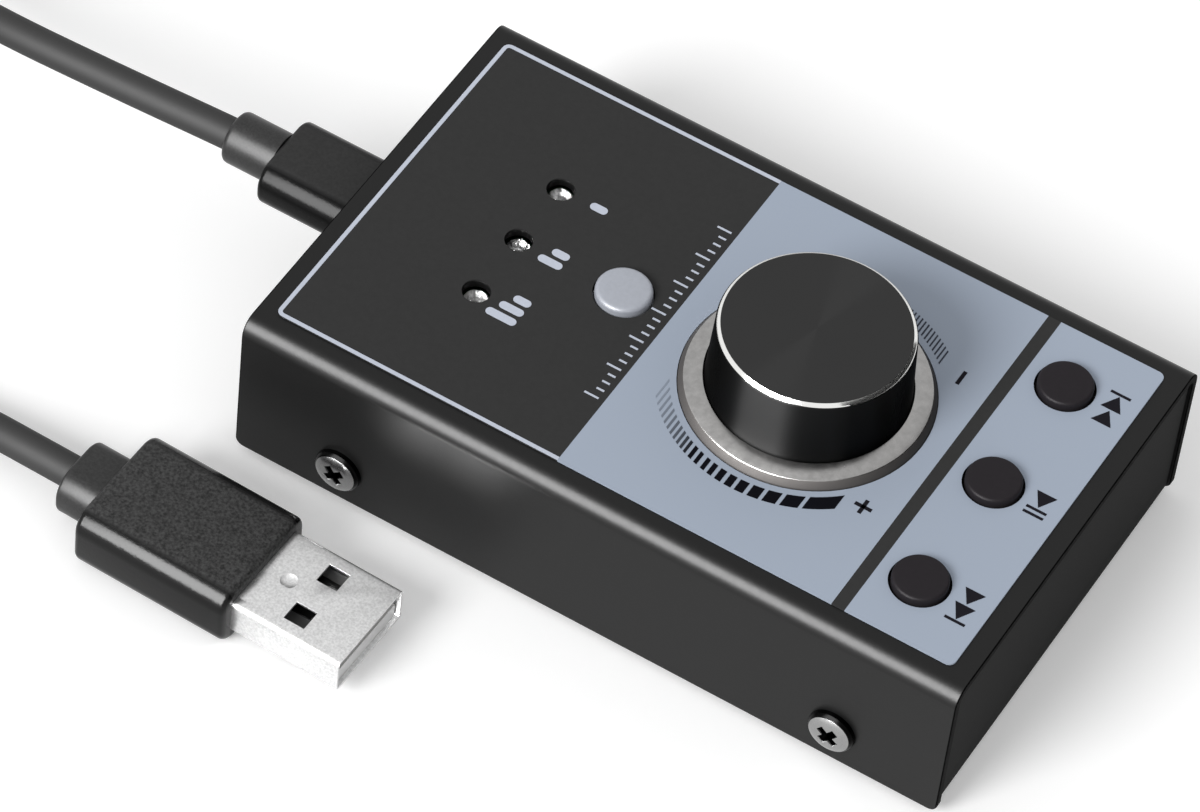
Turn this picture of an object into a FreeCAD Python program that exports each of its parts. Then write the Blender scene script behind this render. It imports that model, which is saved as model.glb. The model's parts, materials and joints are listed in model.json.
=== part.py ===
import FreeCAD, Part
import math
import os
from FreeCAD import Vector

# Volume control box with its cable. X runs from the cable end to the media
# buttons, Y from the side with the plug to the far side, Z up from the desk.
# All lengths are in millimetres.
os.makedirs("parts", exist_ok=True)

# Case
case_length = 85.0
case_width = 52.0
panel_top = 20.7            # printed surface above the desk
film = 0.2                  # thickness of the printed film
cover_sheet = 1.0
cover_bend = 2.0            # outer radius of the two long bends
cover_corner = 1.0          # radius of the lower corners of the side walls
cover_lift = 0.35           # lower edge of the cover above the tray's underside
tray_sheet = 1.0
tray_inset = 0.4            # end walls set back from the ends of the cover
tray_bend = 1.2             # outer radius of the bends below the end walls
tray_side_gap = 0.15
tray_top_gap = 0.1
foot_height = 0.7
foot_radius = 3.5
foot_edge_x = 7.5           # centre of a foot to the end of the case
foot_edge_y = 7.5
foot_chamfer = 0.2
overrun = 1.0               # how far every cutting shape passes a face
touch = 0.01                # how close a found edge lies to its place
full_round_share = 0.4975   # edge radius of a bar with round sides, of its height

# Case screws, a pair on each long side
side_screw_share = 0.3506    # place along the case, as share of its length
side_screw_rise = 5.0       # screw axis above the tray's underside
side_head_radius = 2.75
side_head_rim = 0.5
side_head_dome = 0.9
side_shank_radius = 1.45
side_shank_length = 5.0
side_hole_radius = 1.6
tab_hole_radius = 1.5
tab_width = 9.0
tab_height = 8.0
recess_width = 0.8          # one bar of the cross recess
recess_length = 3.1
recess_depth = 1.0

# Printed film
film_left = 2.05            # case end to film, at the cable end
film_right = 2.4
film_side = 3.1
film_corner = 0.8

# Board
board_thickness = 1.6
board_end_gap = 1.0
board_side_gap = 0.35
standoff_across = 4.5       # hexagon across flats
standoff_edge_x = 2.7       # screw axis to the board's edge
standoff_edge_y = 2.6
standoff_hole_radius = 1.25
standoff_hole_depth = 5.0
board_screw_radius = 1.2
board_screw_length = 6.0    # under the head
board_head_radius = 2.2
board_head_height = 1.4
board_hole_radius = 1.4
board_recess_width = 0.6
board_recess_length = 2.4
board_recess_depth = 0.7
pin_hole_radius = 0.6
pin_drop = 0.9              # how far solder pins pass the board's underside

# Controller, clock and small parts on the board
chip_side = 7.0
chip_height = 1.0
chip_share = (-0.45, -0.68)   # place, as shares of the board's half length and width
chip_pins = 8               # on each side
chip_pin_pitch = 0.8
chip_pin_width = 0.3
chip_pin_reach = 0.9
chip_pin_thickness = 0.2
clock_length = 11.0
clock_width = 4.6
clock_height = 3.5
clock_share = (-0.45, 0.72)
small_part_length = 1.6
small_part_width = 0.8
small_part_height = 0.5
small_part_pitch = 2.4
small_part_count = 7
small_part_share = -0.25     # first part of each row, of the board's half length
small_part_row_shares = (-0.51, -0.64, -0.77, 0.51, 0.64, 0.77)

# Status lights
led_share = -0.293           # place along the case, as share of its length
led_pitch_share = 0.1629      # of the case width
led_radius = 1.5
led_flange_radius = 1.9
led_flange = 1.0
led_height = 5.3
led_depth = 0.6             # top of the dome under the panel
led_hole_radius = 1.55
led_leg = 0.45
led_leg_pitch = 2.54
spacer_radius = 2.0
spacer_bore = 1.75

# Buttons
mode_share = -0.14235        # place along the case, as share of its length
mode_radius = 3.075
mode_proud = 0.9
mode_round = 0.55
media_share = 0.37825
media_pitch_share = 0.29615   # of the case width
media_radius = 3.0
media_proud = 0.9
media_round = 0.35
button_hole_radius = 3.3
button_flange = 0.8         # width and thickness of the rim under the cover
button_play = 0.1           # rim to the cover above it
button_travel = 0.25
switch_side = 6.0
switch_height = 3.5
switch_stem_radius = 1.75
switch_stem_height = 1.5    # above the switch body
switch_plate = 0.3
switch_cavity_radius = 2.6
switch_cavity_floor = 0.8
switch_cavity_height = 2.0
stem_collar_radius = 2.4
stem_collar = 0.6
stem_gap = 0.05             # stem to the hole in its plate
switch_leg_width = 0.7
switch_leg_pitch = 4.5
dome_height = 0.6
dome_sheet = 0.1
dome_gap = 0.05             # left under a pressed stem

# Rotary encoder, under the knob
knob_share = 0.11882         # place along the case, as share of its length
encoder_length = 11.6
encoder_width = 11.8
encoder_height = 6.9
encoder_plate = 0.8
encoder_strap = 0.4         # metal straps down the two sides
encoder_strap_width = 5.0
encoder_lug_width = 2.0
bushing_radius = 3.5
bushing_length = 5.0        # above the encoder's plate
shaft_radius = 3.0
running_gap = 0.05
pocket_radius = 4.9
pocket_depth = 4.0          # rotor pocket under the plate
rotor_radius = 4.8
rotor_disc = 1.2
rotor_hub_radius = 3.2
axial_gap = 0.05
drive_square = 2.4          # lower part of the shaft
shaft_foot_radius = 2.2
shaft_foot = 0.55
push_travel = 0.5
push_gap = 0.1              # left under and over the pushed pieces
push_well_radius = 3.2
push_well_depth = 1.5
push_dome_height = 0.3
shaft_flat = 1.5            # flat face from the shaft's axis
shaft_flat_start = 0.8      # above the bushing
shaft_top_depth = 0.2       # shaft end under the inside of the knob
encoder_pin_width = 0.7
encoder_pin_pitch = 2.5
encoder_pin_out = 0.6

# Nut, washer and ring under the knob
washer_radius = 5.6
washer_thickness = 0.4
nut_across = 10.0
nut_height = 2.0
ring_radius = 13.5
ring_bore = 10.97
ring_height = 1.55          # inner edge above the cover
ring_fall = 0.4             # of the face, from its inner to its outer edge
ring_slant = 0.5            # inward, of the outer side
ring_foot = 0.3             # level rim under the slanted side
ring_inner_chamfer = 0.1
ring_web = 0.3
ring_film_gap = 0.1
panel_hole_gap = 0.1        # round the bushing

# Knob
knob_height = 9.8           # top face above the panel
knob_top_radius = 9.95
knob_rim_radius = 10.42
knob_rim_drop = 0.45
knob_foot_radius = 10.87
knob_foot_rise = 0.75       # lower edge above the panel
knob_wall = 1.2
knob_top_wall = 1.5
insert_gap = 0.02
insert_disc = 1.5
insert_hub_radius = 4.6
insert_rib = 1.0
insert_rib_drop = 2.0
insert_ribs = 6
insert_clearance = 0.8      # hub above the bushing at rest

# Socket in the case and the plug in it
socket_width = 8.94
socket_height = 3.26
socket_wall = 0.3
socket_length = 7.4
socket_setback = 0.1        # mouth behind the inside of the end wall
socket_back = 1.0
tongue_width = 6.7
tongue_height = 0.7
tongue_setback = 0.8
wall_opening_gap = 0.35
plug_width = 8.25
plug_height = 2.4
plug_wall = 0.25
plug_reach = 6.5
plug_root = 4.0
c_grip_gap = 0.15           # grip to the end wall
c_grip_length = 11.7
c_grip_width = 10.7
c_grip_height = 5.8
c_grip_edge = 2.7
c_grip_end_round = 0.6
c_collar_length = 6.0
c_collar_radius = 3.0
c_collar_round = 0.4

# Cable and its other plug, which lies on the desk
cord_radius = 1.9
a_root = (-29.0, -41.6)     # where the shell leaves the grip
a_turn_deg = -1.5
a_shell_length = 13.2
a_shell_root = 5.5
a_shell_width = 12.0
a_shell_height = 4.5
a_shell_wall = 0.3
a_shell_corner = 0.6
a_window = 2.5
a_window_x = 6.5            # centre of the windows from the grip
a_window_y = 3.0
a_dimple_x = 3.05
a_dimple_ball = 2.2         # radius of the ball that presses it
a_dimple_depth = 0.22
a_insert_width = 10.8
a_insert_height = 1.9
a_insert_setback = 0.5
a_contact_width = 1.0
a_contact_thickness = 0.2
a_contact_length = 8.5
a_contact_pitches = (-3.5, -1.0, 1.0, 3.5)
a_grip_length = 18.8
a_grip_width = 15.0
a_grip_height = 7.8
a_grip_edge = 2.4
a_grip_end_round = 0.7
a_collar_length = 4.6
a_collar_width = 8.5
a_collar_height = 6.0
a_collar_edge = 2.7
a_collar_round = 0.4

# Put-away coil
coil_x = -127.0
coil_y = -20.0
coil_mid_radius = 21.0
coil_turns_per_layer = 3
coil_pitch = 4.4            # turn to turn and layer to layer
tie_band = 0.5
tie_width = 4.0
tie_gap = 0.3
tie_tail = 9.0
tie_tail_radius = 0.8

# Cord routes, chosen by hand: from each plug towards the coil
near_route = [
    (-60.0, 0.0, 14.23),
    (-73.0, -0.2, 13.6),
    (-90.0, 0.0, 12.5),
    (-100.5, 2.8, 9.6),
]
far_route = [
    (-52.4, -40.98, 3.9),
    (-59.3, -40.6, 3.5),
    (-65.7, -39.9, 2.6),
    (-80.0, -41.0, 1.9),
    (-96.5, -45.6, 2.0),
]
coil_lead_in = 12.5         # last run of a route, in line with the coil's end
trim_share = 0.45           # of the shorter run beside a corner, taken up by its arc

# Levels and places worked out from the sizes above
side_screw_x = case_length * side_screw_share
led_x = case_length * led_share
led_pitch = case_width * led_pitch_share
media_pitch = case_width * media_pitch_share
mode_x = case_length * mode_share
media_x = case_length * media_share
knob_x = case_length * knob_share
panel_cover_top = panel_top - film
cover_inside = panel_cover_top - cover_sheet
tray_top = foot_height + tray_sheet
tray_wall_x = case_length / 2 - tray_inset
tray_inside_x = tray_wall_x - tray_sheet
tray_side_y = case_width / 2 - cover_sheet - tray_side_gap
tab_inside_y = tray_side_y - tray_sheet
board_top = cover_inside - encoder_height
board_under = board_top - board_thickness
board_half_x = tray_inside_x - board_end_gap
board_half_y = tab_inside_y - board_side_gap
screw_z = foot_height + side_screw_rise
bushing_top = cover_inside + bushing_length
knob_top = panel_top + knob_height
knob_inside = knob_top - knob_top_wall
plug_z = board_top + socket_height / 2
button_places = {
    "mode": (mode_x, 0.0),
    "previous": (media_x, media_pitch),
    "play": (media_x, 0.0),
    "next": (media_x, -media_pitch),
}
led_places = {
    "low": (led_x, led_pitch),
    "middle": (led_x, 0.0),
    "high": (led_x, -led_pitch),
}
standoff_places = [
    (sx * (board_half_x - standoff_edge_x), sy * (board_half_y - standoff_edge_y))
    for sx in (-1, 1) for sy in (-1, 1)
]
up = Vector(0, 0, 1)


def block(x0, x1, y0, y1, z0, z1):
    return Part.makeBox(x1 - x0, y1 - y0, z1 - z0, Vector(x0, y0, z0))


def centred(x, y, z0, length, width, height):
    return Part.makeBox(length, width, height, Vector(x - length / 2, y - width / 2, z0))


def post(x, y, z0, z1, radius):
    return Part.makeCylinder(radius, z1 - z0, Vector(x, y, z0))


def turned(profile, x, y):
    """Closed (radius, height) outline turned about the upright axis through x, y."""
    points = [Vector(x + r, y, z) for r, z in profile]
    face = Part.Face(Part.makePolygon(points + points[:1]))
    return face.revolve(Vector(x, y, 0), up, 360)


def hexagon(x, y, z0, height, across):
    """Six-sided prism, flats facing Y."""
    reach = across / math.sqrt(3)
    corners = [Vector(x + reach * math.cos(math.radians(60 * k)),
                      y + reach * math.sin(math.radians(60 * k)), z0) for k in range(7)]
    return Part.Face(Part.makePolygon(corners)).extrude(Vector(0, 0, height))


def fillet_where(shape, radius, wanted):
    """Round the edges that the test picks."""
    return shape.makeFillet(radius, [edge for edge in shape.Edges if wanted(edge)])


def edge_along(edge, direction):
    if len(edge.Vertexes) < 2 or not isinstance(edge.Curve, (Part.Line, Part.LineSegment)):
        return False
    run = edge.Vertexes[1].Point - edge.Vertexes[0].Point
    return run.cross(direction).Length < touch * direction.Length


def circle_at(edge, z):
    """A whole level circle at height z."""
    box = edge.BoundBox
    return edge.Closed and abs(box.ZMax - z) + abs(box.ZMin - z) < touch


def bar_x(x0, x1, width, height, edge, y, z):
    """Bar along X with rounded long edges, centred on y and z."""
    bar = block(x0, x1, y - width / 2, y + width / 2, z - height / 2, z + height / 2)
    return fillet_where(bar, edge, lambda e: edge_along(e, Vector(1, 0, 0)))


def rounded_end(shape, x, radius):
    """Round the outline of the end face that lies at x."""
    def on_end(edge):
        return abs(edge.BoundBox.XMin - x) + abs(edge.BoundBox.XMax - x) < touch
    return fillet_where(shape, radius, on_end)


def cross_recess(width, length, depth):
    """Cross-shaped cutter whose open top is at the origin, pointing down."""
    one = centred(0, 0, -depth, length, width, depth + overrun)
    other = centred(0, 0, -depth, width, length, depth + overrun)
    return one.fuse(other)


def group(shapes):
    return Part.makeCompound(shapes)


def save(name, shape):
    print(name, len(shape.Solids), "solid(s), volume", round(shape.Volume, 2), shape.isValid())
    shape.exportStep(os.path.join("parts", name + ".step"))


def top_cover():
    half = case_width / 2
    low = foot_height + cover_lift
    outer = block(-case_length / 2, case_length / 2, -half, half, low, panel_cover_top)
    outer = fillet_where(outer, cover_bend, lambda e: edge_along(e, Vector(1, 0, 0))
                         and e.BoundBox.ZMin > low + cover_bend)
    inner = block(-case_length / 2 - overrun, case_length / 2 + overrun, -half + cover_sheet,
                  half - cover_sheet, low - overrun, cover_inside)
    inner = fillet_where(inner, cover_bend - cover_sheet, lambda e: edge_along(e, Vector(1, 0, 0))
                         and e.BoundBox.ZMin > low + cover_bend)
    cover = outer.cut(inner)
    cover = fillet_where(cover, cover_corner, lambda e: edge_along(e, Vector(0, 1, 0))
                         and e.BoundBox.ZMax < low + cover_corner)
    holes = [post(knob_x, 0, low, panel_top + overrun, bushing_radius + panel_hole_gap)]
    for x, y in button_places.values():
        holes.append(post(x, y, low, panel_top + overrun, button_hole_radius))
    for x, y in led_places.values():
        holes.append(post(x, y, low, panel_top + overrun, led_hole_radius))
    for x in (-side_screw_x, side_screw_x):
        holes.append(Part.makeCylinder(side_hole_radius, case_width + 2 * overrun,
                                       Vector(x, -half - overrun, screw_z), Vector(0, 1, 0)))
    return cover.cut(holes)


def bottom_tray():
    outer = block(-tray_wall_x, tray_wall_x, -tray_side_y, tray_side_y, foot_height,
                  cover_inside - tray_top_gap)
    outer = fillet_where(outer, tray_bend, lambda e: edge_along(e, Vector(0, 1, 0))
                         and e.BoundBox.ZMax < foot_height + tray_bend)
    outer = fillet_where(outer, cover_bend - cover_sheet, lambda e: edge_along(e, Vector(1, 0, 0))
                         and e.BoundBox.ZMin > tray_top)
    inner = block(-tray_inside_x, tray_inside_x, -tray_side_y - overrun, tray_side_y + overrun,
                  tray_top, panel_top)
    inner = fillet_where(inner, tray_bend - tray_sheet, lambda e: edge_along(e, Vector(0, 1, 0))
                         and e.BoundBox.ZMax < tray_top + tray_bend)
    tray = outer.cut(inner)
    for side in (-1, 1):
        for x in (-side_screw_x, side_screw_x):
            tab = centred(x, side * (tray_side_y - tray_sheet / 2), foot_height, tab_width,
                          tray_sheet, tray_sheet + tab_height)
            tab = fillet_where(tab, tab_width / 4, lambda e: edge_along(e, Vector(0, 1, 0))
                               and e.BoundBox.ZMin > tray_top + tab_height / 2)
            hole = Part.makeCylinder(tab_hole_radius, tray_sheet + 2 * overrun,
                                     Vector(x, side * (tab_inside_y - overrun), screw_z),
                                     Vector(0, side, 0))
            tray = tray.fuse(tab).cut(hole)
    opening = bar_x(-tray_wall_x - overrun, -tray_inside_x + overrun,
                    socket_width + 2 * wall_opening_gap, socket_height + 2 * wall_opening_gap,
                    (socket_height + 2 * wall_opening_gap) * full_round_share, 0, plug_z)
    return tray.cut(opening).removeSplitter()


def panel_overlay():
    sheet = block(-case_length / 2 + film_left, case_length / 2 - film_right,
                  -case_width / 2 + film_side, case_width / 2 - film_side,
                  panel_cover_top, panel_top)
    sheet = fillet_where(sheet, film_corner, lambda e: edge_along(e, up))
    holes = [post(knob_x, 0, 0, panel_top + overrun, ring_radius + ring_film_gap)]
    for x, y in button_places.values():
        holes.append(post(x, y, 0, panel_top + overrun, button_hole_radius))
    for x, y in led_places.values():
        holes.append(post(x, y, 0, panel_top + overrun, led_hole_radius))
    return sheet.cut(holes)


def pan_screw(head_radius, rim, dome, shank_radius, shank_length, recess):
    """Upright pan screw: underside of the head at the origin, shank pointing down."""
    ball = (head_radius ** 2 + dome ** 2) / (2 * dome)
    cap = Part.makeSphere(ball, Vector(0, 0, rim + dome - ball))
    cap = cap.common(post(0, 0, rim, rim + dome + overrun, head_radius))
    head = post(0, 0, 0, rim, head_radius).fuse(cap)
    shank = post(0, 0, -shank_length, 0, shank_radius)
    shank = fillet_where(shank, shank_radius / 4, lambda e: circle_at(e, -shank_length))
    recess.translate(Vector(0, 0, rim + dome))
    return head.fuse(shank).cut(recess).removeSplitter()


def side_screws():
    screws = []
    for side in (-1, 1):
        for x in (-side_screw_x, side_screw_x):
            screw = pan_screw(side_head_radius, side_head_rim, side_head_dome,
                              side_shank_radius, side_shank_length,
                              cross_recess(recess_width, recess_length, recess_depth))
            screw.rotate(Vector(0, 0, 0), up, 45)
            screw.rotate(Vector(0, 0, 0), Vector(1, 0, 0), -90 * side)
            screw.translate(Vector(x, side * case_width / 2, screw_z))
            screws.append(screw)
    return group(screws)


def rubber_feet():
    feet = []
    for sx in (-1, 1):
        for sy in (-1, 1):
            foot = post(sx * (case_length / 2 - foot_edge_x), sy * (case_width / 2 - foot_edge_y),
                        0, foot_height, foot_radius)
            ring = [edge for edge in foot.Edges if circle_at(edge, 0)]
            feet.append(foot.makeChamfer(foot_chamfer, ring))
    return group(feet)


def switch_leg_places(x, y):
    return [(x + sx * (switch_side + switch_plate) / 2, y + sy * switch_leg_pitch / 2)
            for sx in (-1, 1) for sy in (-1, 1)]


def encoder_pin_places():
    reach = encoder_width / 2 + encoder_pin_out
    places = [(knob_x + k * encoder_pin_pitch, -reach) for k in (-1, 0, 1)]
    places += [(knob_x + k * encoder_pin_pitch, reach) for k in (-1, 1)]
    return places


def encoder_lug_places():
    reach = (encoder_length + encoder_strap) / 2
    return [(knob_x - reach, 0.0), (knob_x + reach, 0.0)]


def led_leg_places(x, y):
    return [(x, y - led_leg_pitch / 2), (x, y + led_leg_pitch / 2)]


def circuit_board():
    board = block(-board_half_x, board_half_x, -board_half_y, board_half_y, board_under, board_top)
    low = board_under - overrun
    high = board_top + overrun
    holes = [post(x, y, low, high, board_hole_radius) for x, y in standoff_places]
    pins = list(encoder_pin_places())
    for x, y in button_places.values():
        pins += switch_leg_places(x, y)
    for x, y in led_places.values():
        pins += led_leg_places(x, y)
    holes += [post(x, y, low, high, pin_hole_radius) for x, y in pins]
    for x, y in encoder_lug_places():
        holes.append(centred(x, y, low, encoder_strap + pin_hole_radius,
                             encoder_lug_width + pin_hole_radius, high - low))
    return board.cut(holes)


def board_standoffs():
    pillars = []
    for x, y in standoff_places:
        pillar = hexagon(x, y, tray_top, board_under - tray_top, standoff_across)
        hole = post(x, y, board_under - standoff_hole_depth, board_top, standoff_hole_radius)
        pillars.append(pillar.cut(hole))
    return group(pillars)


def board_screws():
    screws = []
    for x, y in standoff_places:
        screw = pan_screw(board_head_radius, board_head_height / 2, board_head_height / 2,
                          board_screw_radius, board_screw_length,
                          cross_recess(board_recess_width, board_recess_length,
                                       board_recess_depth))
        screw.translate(Vector(x, y, board_top))
        screws.append(screw)
    return group(screws)


def controller_chip():
    """Square chip with a row of feet on each side."""
    chip_x = board_half_x * chip_share[0]
    chip_y = board_half_y * chip_share[1]
    body = centred(chip_x, chip_y, board_top + chip_pin_thickness, chip_side, chip_side, chip_height)
    body = fillet_where(body, chip_height / 4, lambda e: edge_along(e, up))
    pieces = [body]
    for k in range(chip_pins):
        along = (k - (chip_pins - 1) / 2) * chip_pin_pitch
        length = chip_side + 2 * chip_pin_reach
        pieces.append(centred(chip_x, chip_y + along, board_top, length, chip_pin_width,
                              chip_pin_thickness))
        pieces.append(centred(chip_x + along, chip_y, board_top, chip_pin_width, length,
                              chip_pin_thickness))
    return pieces[0].fuse(pieces[1:])


def clock_crystal():
    can = centred(board_half_x * clock_share[0], board_half_y * clock_share[1], board_top,
                  clock_length, clock_width, clock_height)
    can = fillet_where(can, clock_width * full_round_share, lambda e: edge_along(e, up))
    return fillet_where(can, clock_height / 8, lambda e: e.BoundBox.ZMin > board_top)


def small_parts():
    chips = []
    for row_share in small_part_row_shares:
        for k in range(small_part_count):
            x = board_half_x * small_part_share + k * small_part_pitch
            chips.append(centred(x, board_half_y * row_share, board_top,
                                 small_part_length, small_part_width, small_part_height))
    return group(chips)


def led(x, y):
    """Clear light: flange, barrel and round dome."""
    top = panel_top - led_depth
    base = top - led_height
    barrel = post(x, y, base, top - led_radius, led_radius)
    dome = Part.makeSphere(led_radius, Vector(x, y, top - led_radius))
    flange = post(x, y, base, base + led_flange, led_flange_radius)
    return barrel.fuse([dome, flange]).removeSplitter()


def led_spacers():
    base = panel_top - led_depth - led_height
    return group([post(x, y, board_top, base, spacer_radius).cut(
        post(x, y, board_top - overrun, base + overrun, spacer_bore)) for x, y in led_places.values()])


def led_legs():
    base = panel_top - led_depth - led_height
    legs = []
    for place in led_places.values():
        for x, y in led_leg_places(*place):
            legs.append(centred(x, y, board_under - pin_drop, led_leg, led_leg,
                                base - board_under + pin_drop))
    return group(legs)


def switch_bodies():
    """Plastic boxes with a round well for the snap dome and the stem."""
    bodies = []
    for x, y in button_places.values():
        body = centred(x, y, board_top, switch_side, switch_side, switch_height - switch_plate)
        floor = board_top + switch_cavity_floor
        well = post(x, y, floor, floor + switch_cavity_height, switch_cavity_radius)
        neck = post(x, y, floor, board_top + switch_height + overrun, switch_stem_radius + stem_gap)
        bodies.append(body.cut([well, neck]))
    return group(bodies)


def switch_frames():
    """Metal plates on the switches, each with four legs through the board."""
    frames = []
    top = board_top + switch_height
    for x, y in button_places.values():
        plate = centred(x, y, top - switch_plate, switch_side + 2 * switch_plate, switch_side,
                        switch_plate)
        hole = post(x, y, board_top, top + overrun, switch_stem_radius + stem_gap)
        legs = [centred(lx, ly, board_under - pin_drop, switch_plate, switch_leg_width,
                        top - board_under + pin_drop) for lx, ly in switch_leg_places(x, y)]
        frames.append(plate.fuse(legs).cut(hole).removeSplitter())
    return group(frames)


def snap_dome(x, y, floor, height, radius):
    """Thin domed disc standing on its edge."""
    ball = (radius ** 2 + height ** 2) / (2 * height)
    outer = Part.makeSphere(ball, Vector(x, y, floor + height - ball))
    inner = Part.makeSphere(ball - dome_sheet, Vector(x, y, floor + height - ball))
    return outer.cut(inner).common(post(x, y, floor, floor + height + overrun, radius))


def switch_domes():
    floor = board_top + switch_cavity_floor
    return group([snap_dome(x, y, floor, dome_height, switch_cavity_radius - running_gap)
                  for x, y in button_places.values()])


def switch_stem(x, y):
    """Moving stem of a switch, its collar held under the neck of the body."""
    low = board_top + switch_cavity_floor + dome_height + dome_gap + button_travel
    top = board_top + switch_height + switch_stem_height
    collar = post(x, y, low, low + stem_collar, stem_collar_radius)
    return collar.fuse(post(x, y, low, top, switch_stem_radius)).removeSplitter()


def button_cap(x, y, radius, proud, rounding):
    """Round cap with a rim that the cover holds down and a foot on the switch stem."""
    foot = board_top + switch_height + switch_stem_height
    rim_top = cover_inside - button_play
    top = panel_top + proud
    cap = turned([(0, foot), (switch_stem_radius, foot), (switch_stem_radius, rim_top - button_flange),
                  (radius + button_flange, rim_top - button_flange),
                  (radius + button_flange, rim_top), (radius, rim_top), (radius, top), (0, top)], x, y)
    return fillet_where(cap, rounding, lambda e: circle_at(e, top))


def encoder_base():
    """Plastic body with the rotor pocket and, under it, the well of the push switch."""
    roof = cover_inside - encoder_plate
    body = centred(knob_x, 0, board_top, encoder_length, encoder_width, roof - board_top)
    pocket = post(knob_x, 0, roof - pocket_depth, roof + overrun, pocket_radius)
    well = post(knob_x, 0, roof - pocket_depth - push_well_depth, roof, push_well_radius)
    return body.cut([pocket, well])


def encoder_frame():
    """Metal plate with the bushing, straps down two sides and a lug on each."""
    roof = cover_inside - encoder_plate
    frame = centred(knob_x, 0, roof, encoder_length + 2 * encoder_strap, encoder_width, encoder_plate)
    for x, y in encoder_lug_places():
        frame = frame.fuse(centred(x, y, board_top, encoder_strap, encoder_strap_width,
                                   roof - board_top))
        frame = frame.fuse(centred(x, y, board_under - pin_drop, encoder_strap, encoder_lug_width,
                                   board_thickness + pin_drop))
    frame = frame.fuse(post(knob_x, 0, cover_inside, bushing_top, bushing_radius))
    bore = post(knob_x, 0, roof - overrun, bushing_top + overrun, shaft_radius + running_gap)
    frame = frame.cut(bore).removeSplitter()
    rim = [e for e in frame.Edges if circle_at(e, bushing_top)
           and e.BoundBox.XLength > 2 * shaft_radius + 4 * running_gap]
    return frame.makeChamfer((bushing_radius - shaft_radius) / 2, rim)


def encoder_rotor():
    """Wiper disc with a hub, on the square of the shaft."""
    floor = cover_inside - encoder_plate - pocket_depth + axial_gap
    top = cover_inside - encoder_plate - push_gap
    disc = post(knob_x, 0, floor, floor + rotor_disc, rotor_radius)
    hub = post(knob_x, 0, floor, top, rotor_hub_radius)
    side = drive_square + 2 * running_gap
    bore = centred(knob_x, 0, floor - overrun, side, side, top - floor + 2 * overrun)
    return disc.fuse(hub).cut(bore).removeSplitter()


def encoder_shaft():
    """Round shaft with a flat for the knob and a square that slides in the rotor."""
    shoulder = cover_inside - encoder_plate + push_travel
    top = knob_inside - shaft_top_depth
    foot_top = cover_inside - encoder_plate - pocket_depth - axial_gap
    shaft = post(knob_x, 0, shoulder, top, shaft_radius)
    flat_floor = bushing_top + shaft_flat_start
    flat = block(knob_x + shaft_flat, knob_x + 2 * shaft_radius, -shaft_radius, shaft_radius,
                 flat_floor, top + overrun)
    square = centred(knob_x, 0, foot_top, drive_square, drive_square, shoulder - foot_top)
    foot = post(knob_x, 0, foot_top - shaft_foot, foot_top, shaft_foot_radius)
    return shaft.cut(flat).fuse([square, foot]).removeSplitter()


def encoder_dome():
    floor = cover_inside - encoder_plate - pocket_depth - push_well_depth
    return snap_dome(knob_x, 0, floor, push_dome_height, push_well_radius - running_gap)


def encoder_pins():
    """Bent solder pins: out of the base, then down through the board."""
    pins = []
    for x, y in encoder_pin_places():
        side = 1 if y > 0 else -1
        edge = side * encoder_width / 2
        out = y + side * encoder_pin_width / 2
        flat = block(x - encoder_pin_width / 2, x + encoder_pin_width / 2, min(edge, out),
                     max(edge, out), board_top + encoder_pin_width / 2,
                     board_top + encoder_pin_width)
        down = centred(x, y, board_under - pin_drop, encoder_pin_width, encoder_pin_width / 2,
                       board_thickness + pin_drop + encoder_pin_width)
        pins.append(flat.fuse(down).removeSplitter())
    return group(pins)


def bushing_washer():
    low = panel_cover_top + ring_web
    return turned([(bushing_radius + running_gap, low), (washer_radius, low),
                   (washer_radius, low + washer_thickness),
                   (bushing_radius + running_gap, low + washer_thickness)], knob_x, 0)


def bushing_nut():
    low = panel_cover_top + ring_web + washer_thickness
    nut = hexagon(knob_x, 0, low, nut_height, nut_across)
    bore = post(knob_x, 0, low - overrun, low + nut_height + overrun, bushing_radius + running_gap)
    cone = Part.makeCone(nut_across / 2, nut_across / 2 + 2 * nut_height, 2 * nut_height,
                         Vector(knob_x, 0, low - nut_height))
    cone = cone.mirror(Vector(knob_x, 0, low + nut_height / 2), up)
    return nut.common(cone).cut(bore)


def trim_ring():
    """Ring with a thin web that the nut clamps on the cover."""
    low = panel_cover_top
    top = low + ring_height
    return turned([(bushing_radius + running_gap, low), (ring_radius, low),
                   (ring_radius, low + ring_foot),
                   (ring_radius - ring_slant, top - ring_fall),
                   (ring_bore + ring_inner_chamfer, top), (ring_bore, top - ring_inner_chamfer),
                   (ring_bore, low + ring_web), (bushing_radius + running_gap, low + ring_web)],
                  knob_x, 0)


def knob_shell():
    """Turned cap: flat top, bright chamfer, wall a little wider at its foot."""
    foot = panel_top + knob_foot_rise
    inside = knob_rim_radius - knob_wall
    return turned([(0, knob_inside), (inside, knob_inside), (inside, foot), (knob_foot_radius, foot),
                   (knob_rim_radius, knob_top - knob_rim_drop), (knob_top_radius, knob_top),
                   (0, knob_top)], knob_x, 0)


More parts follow.
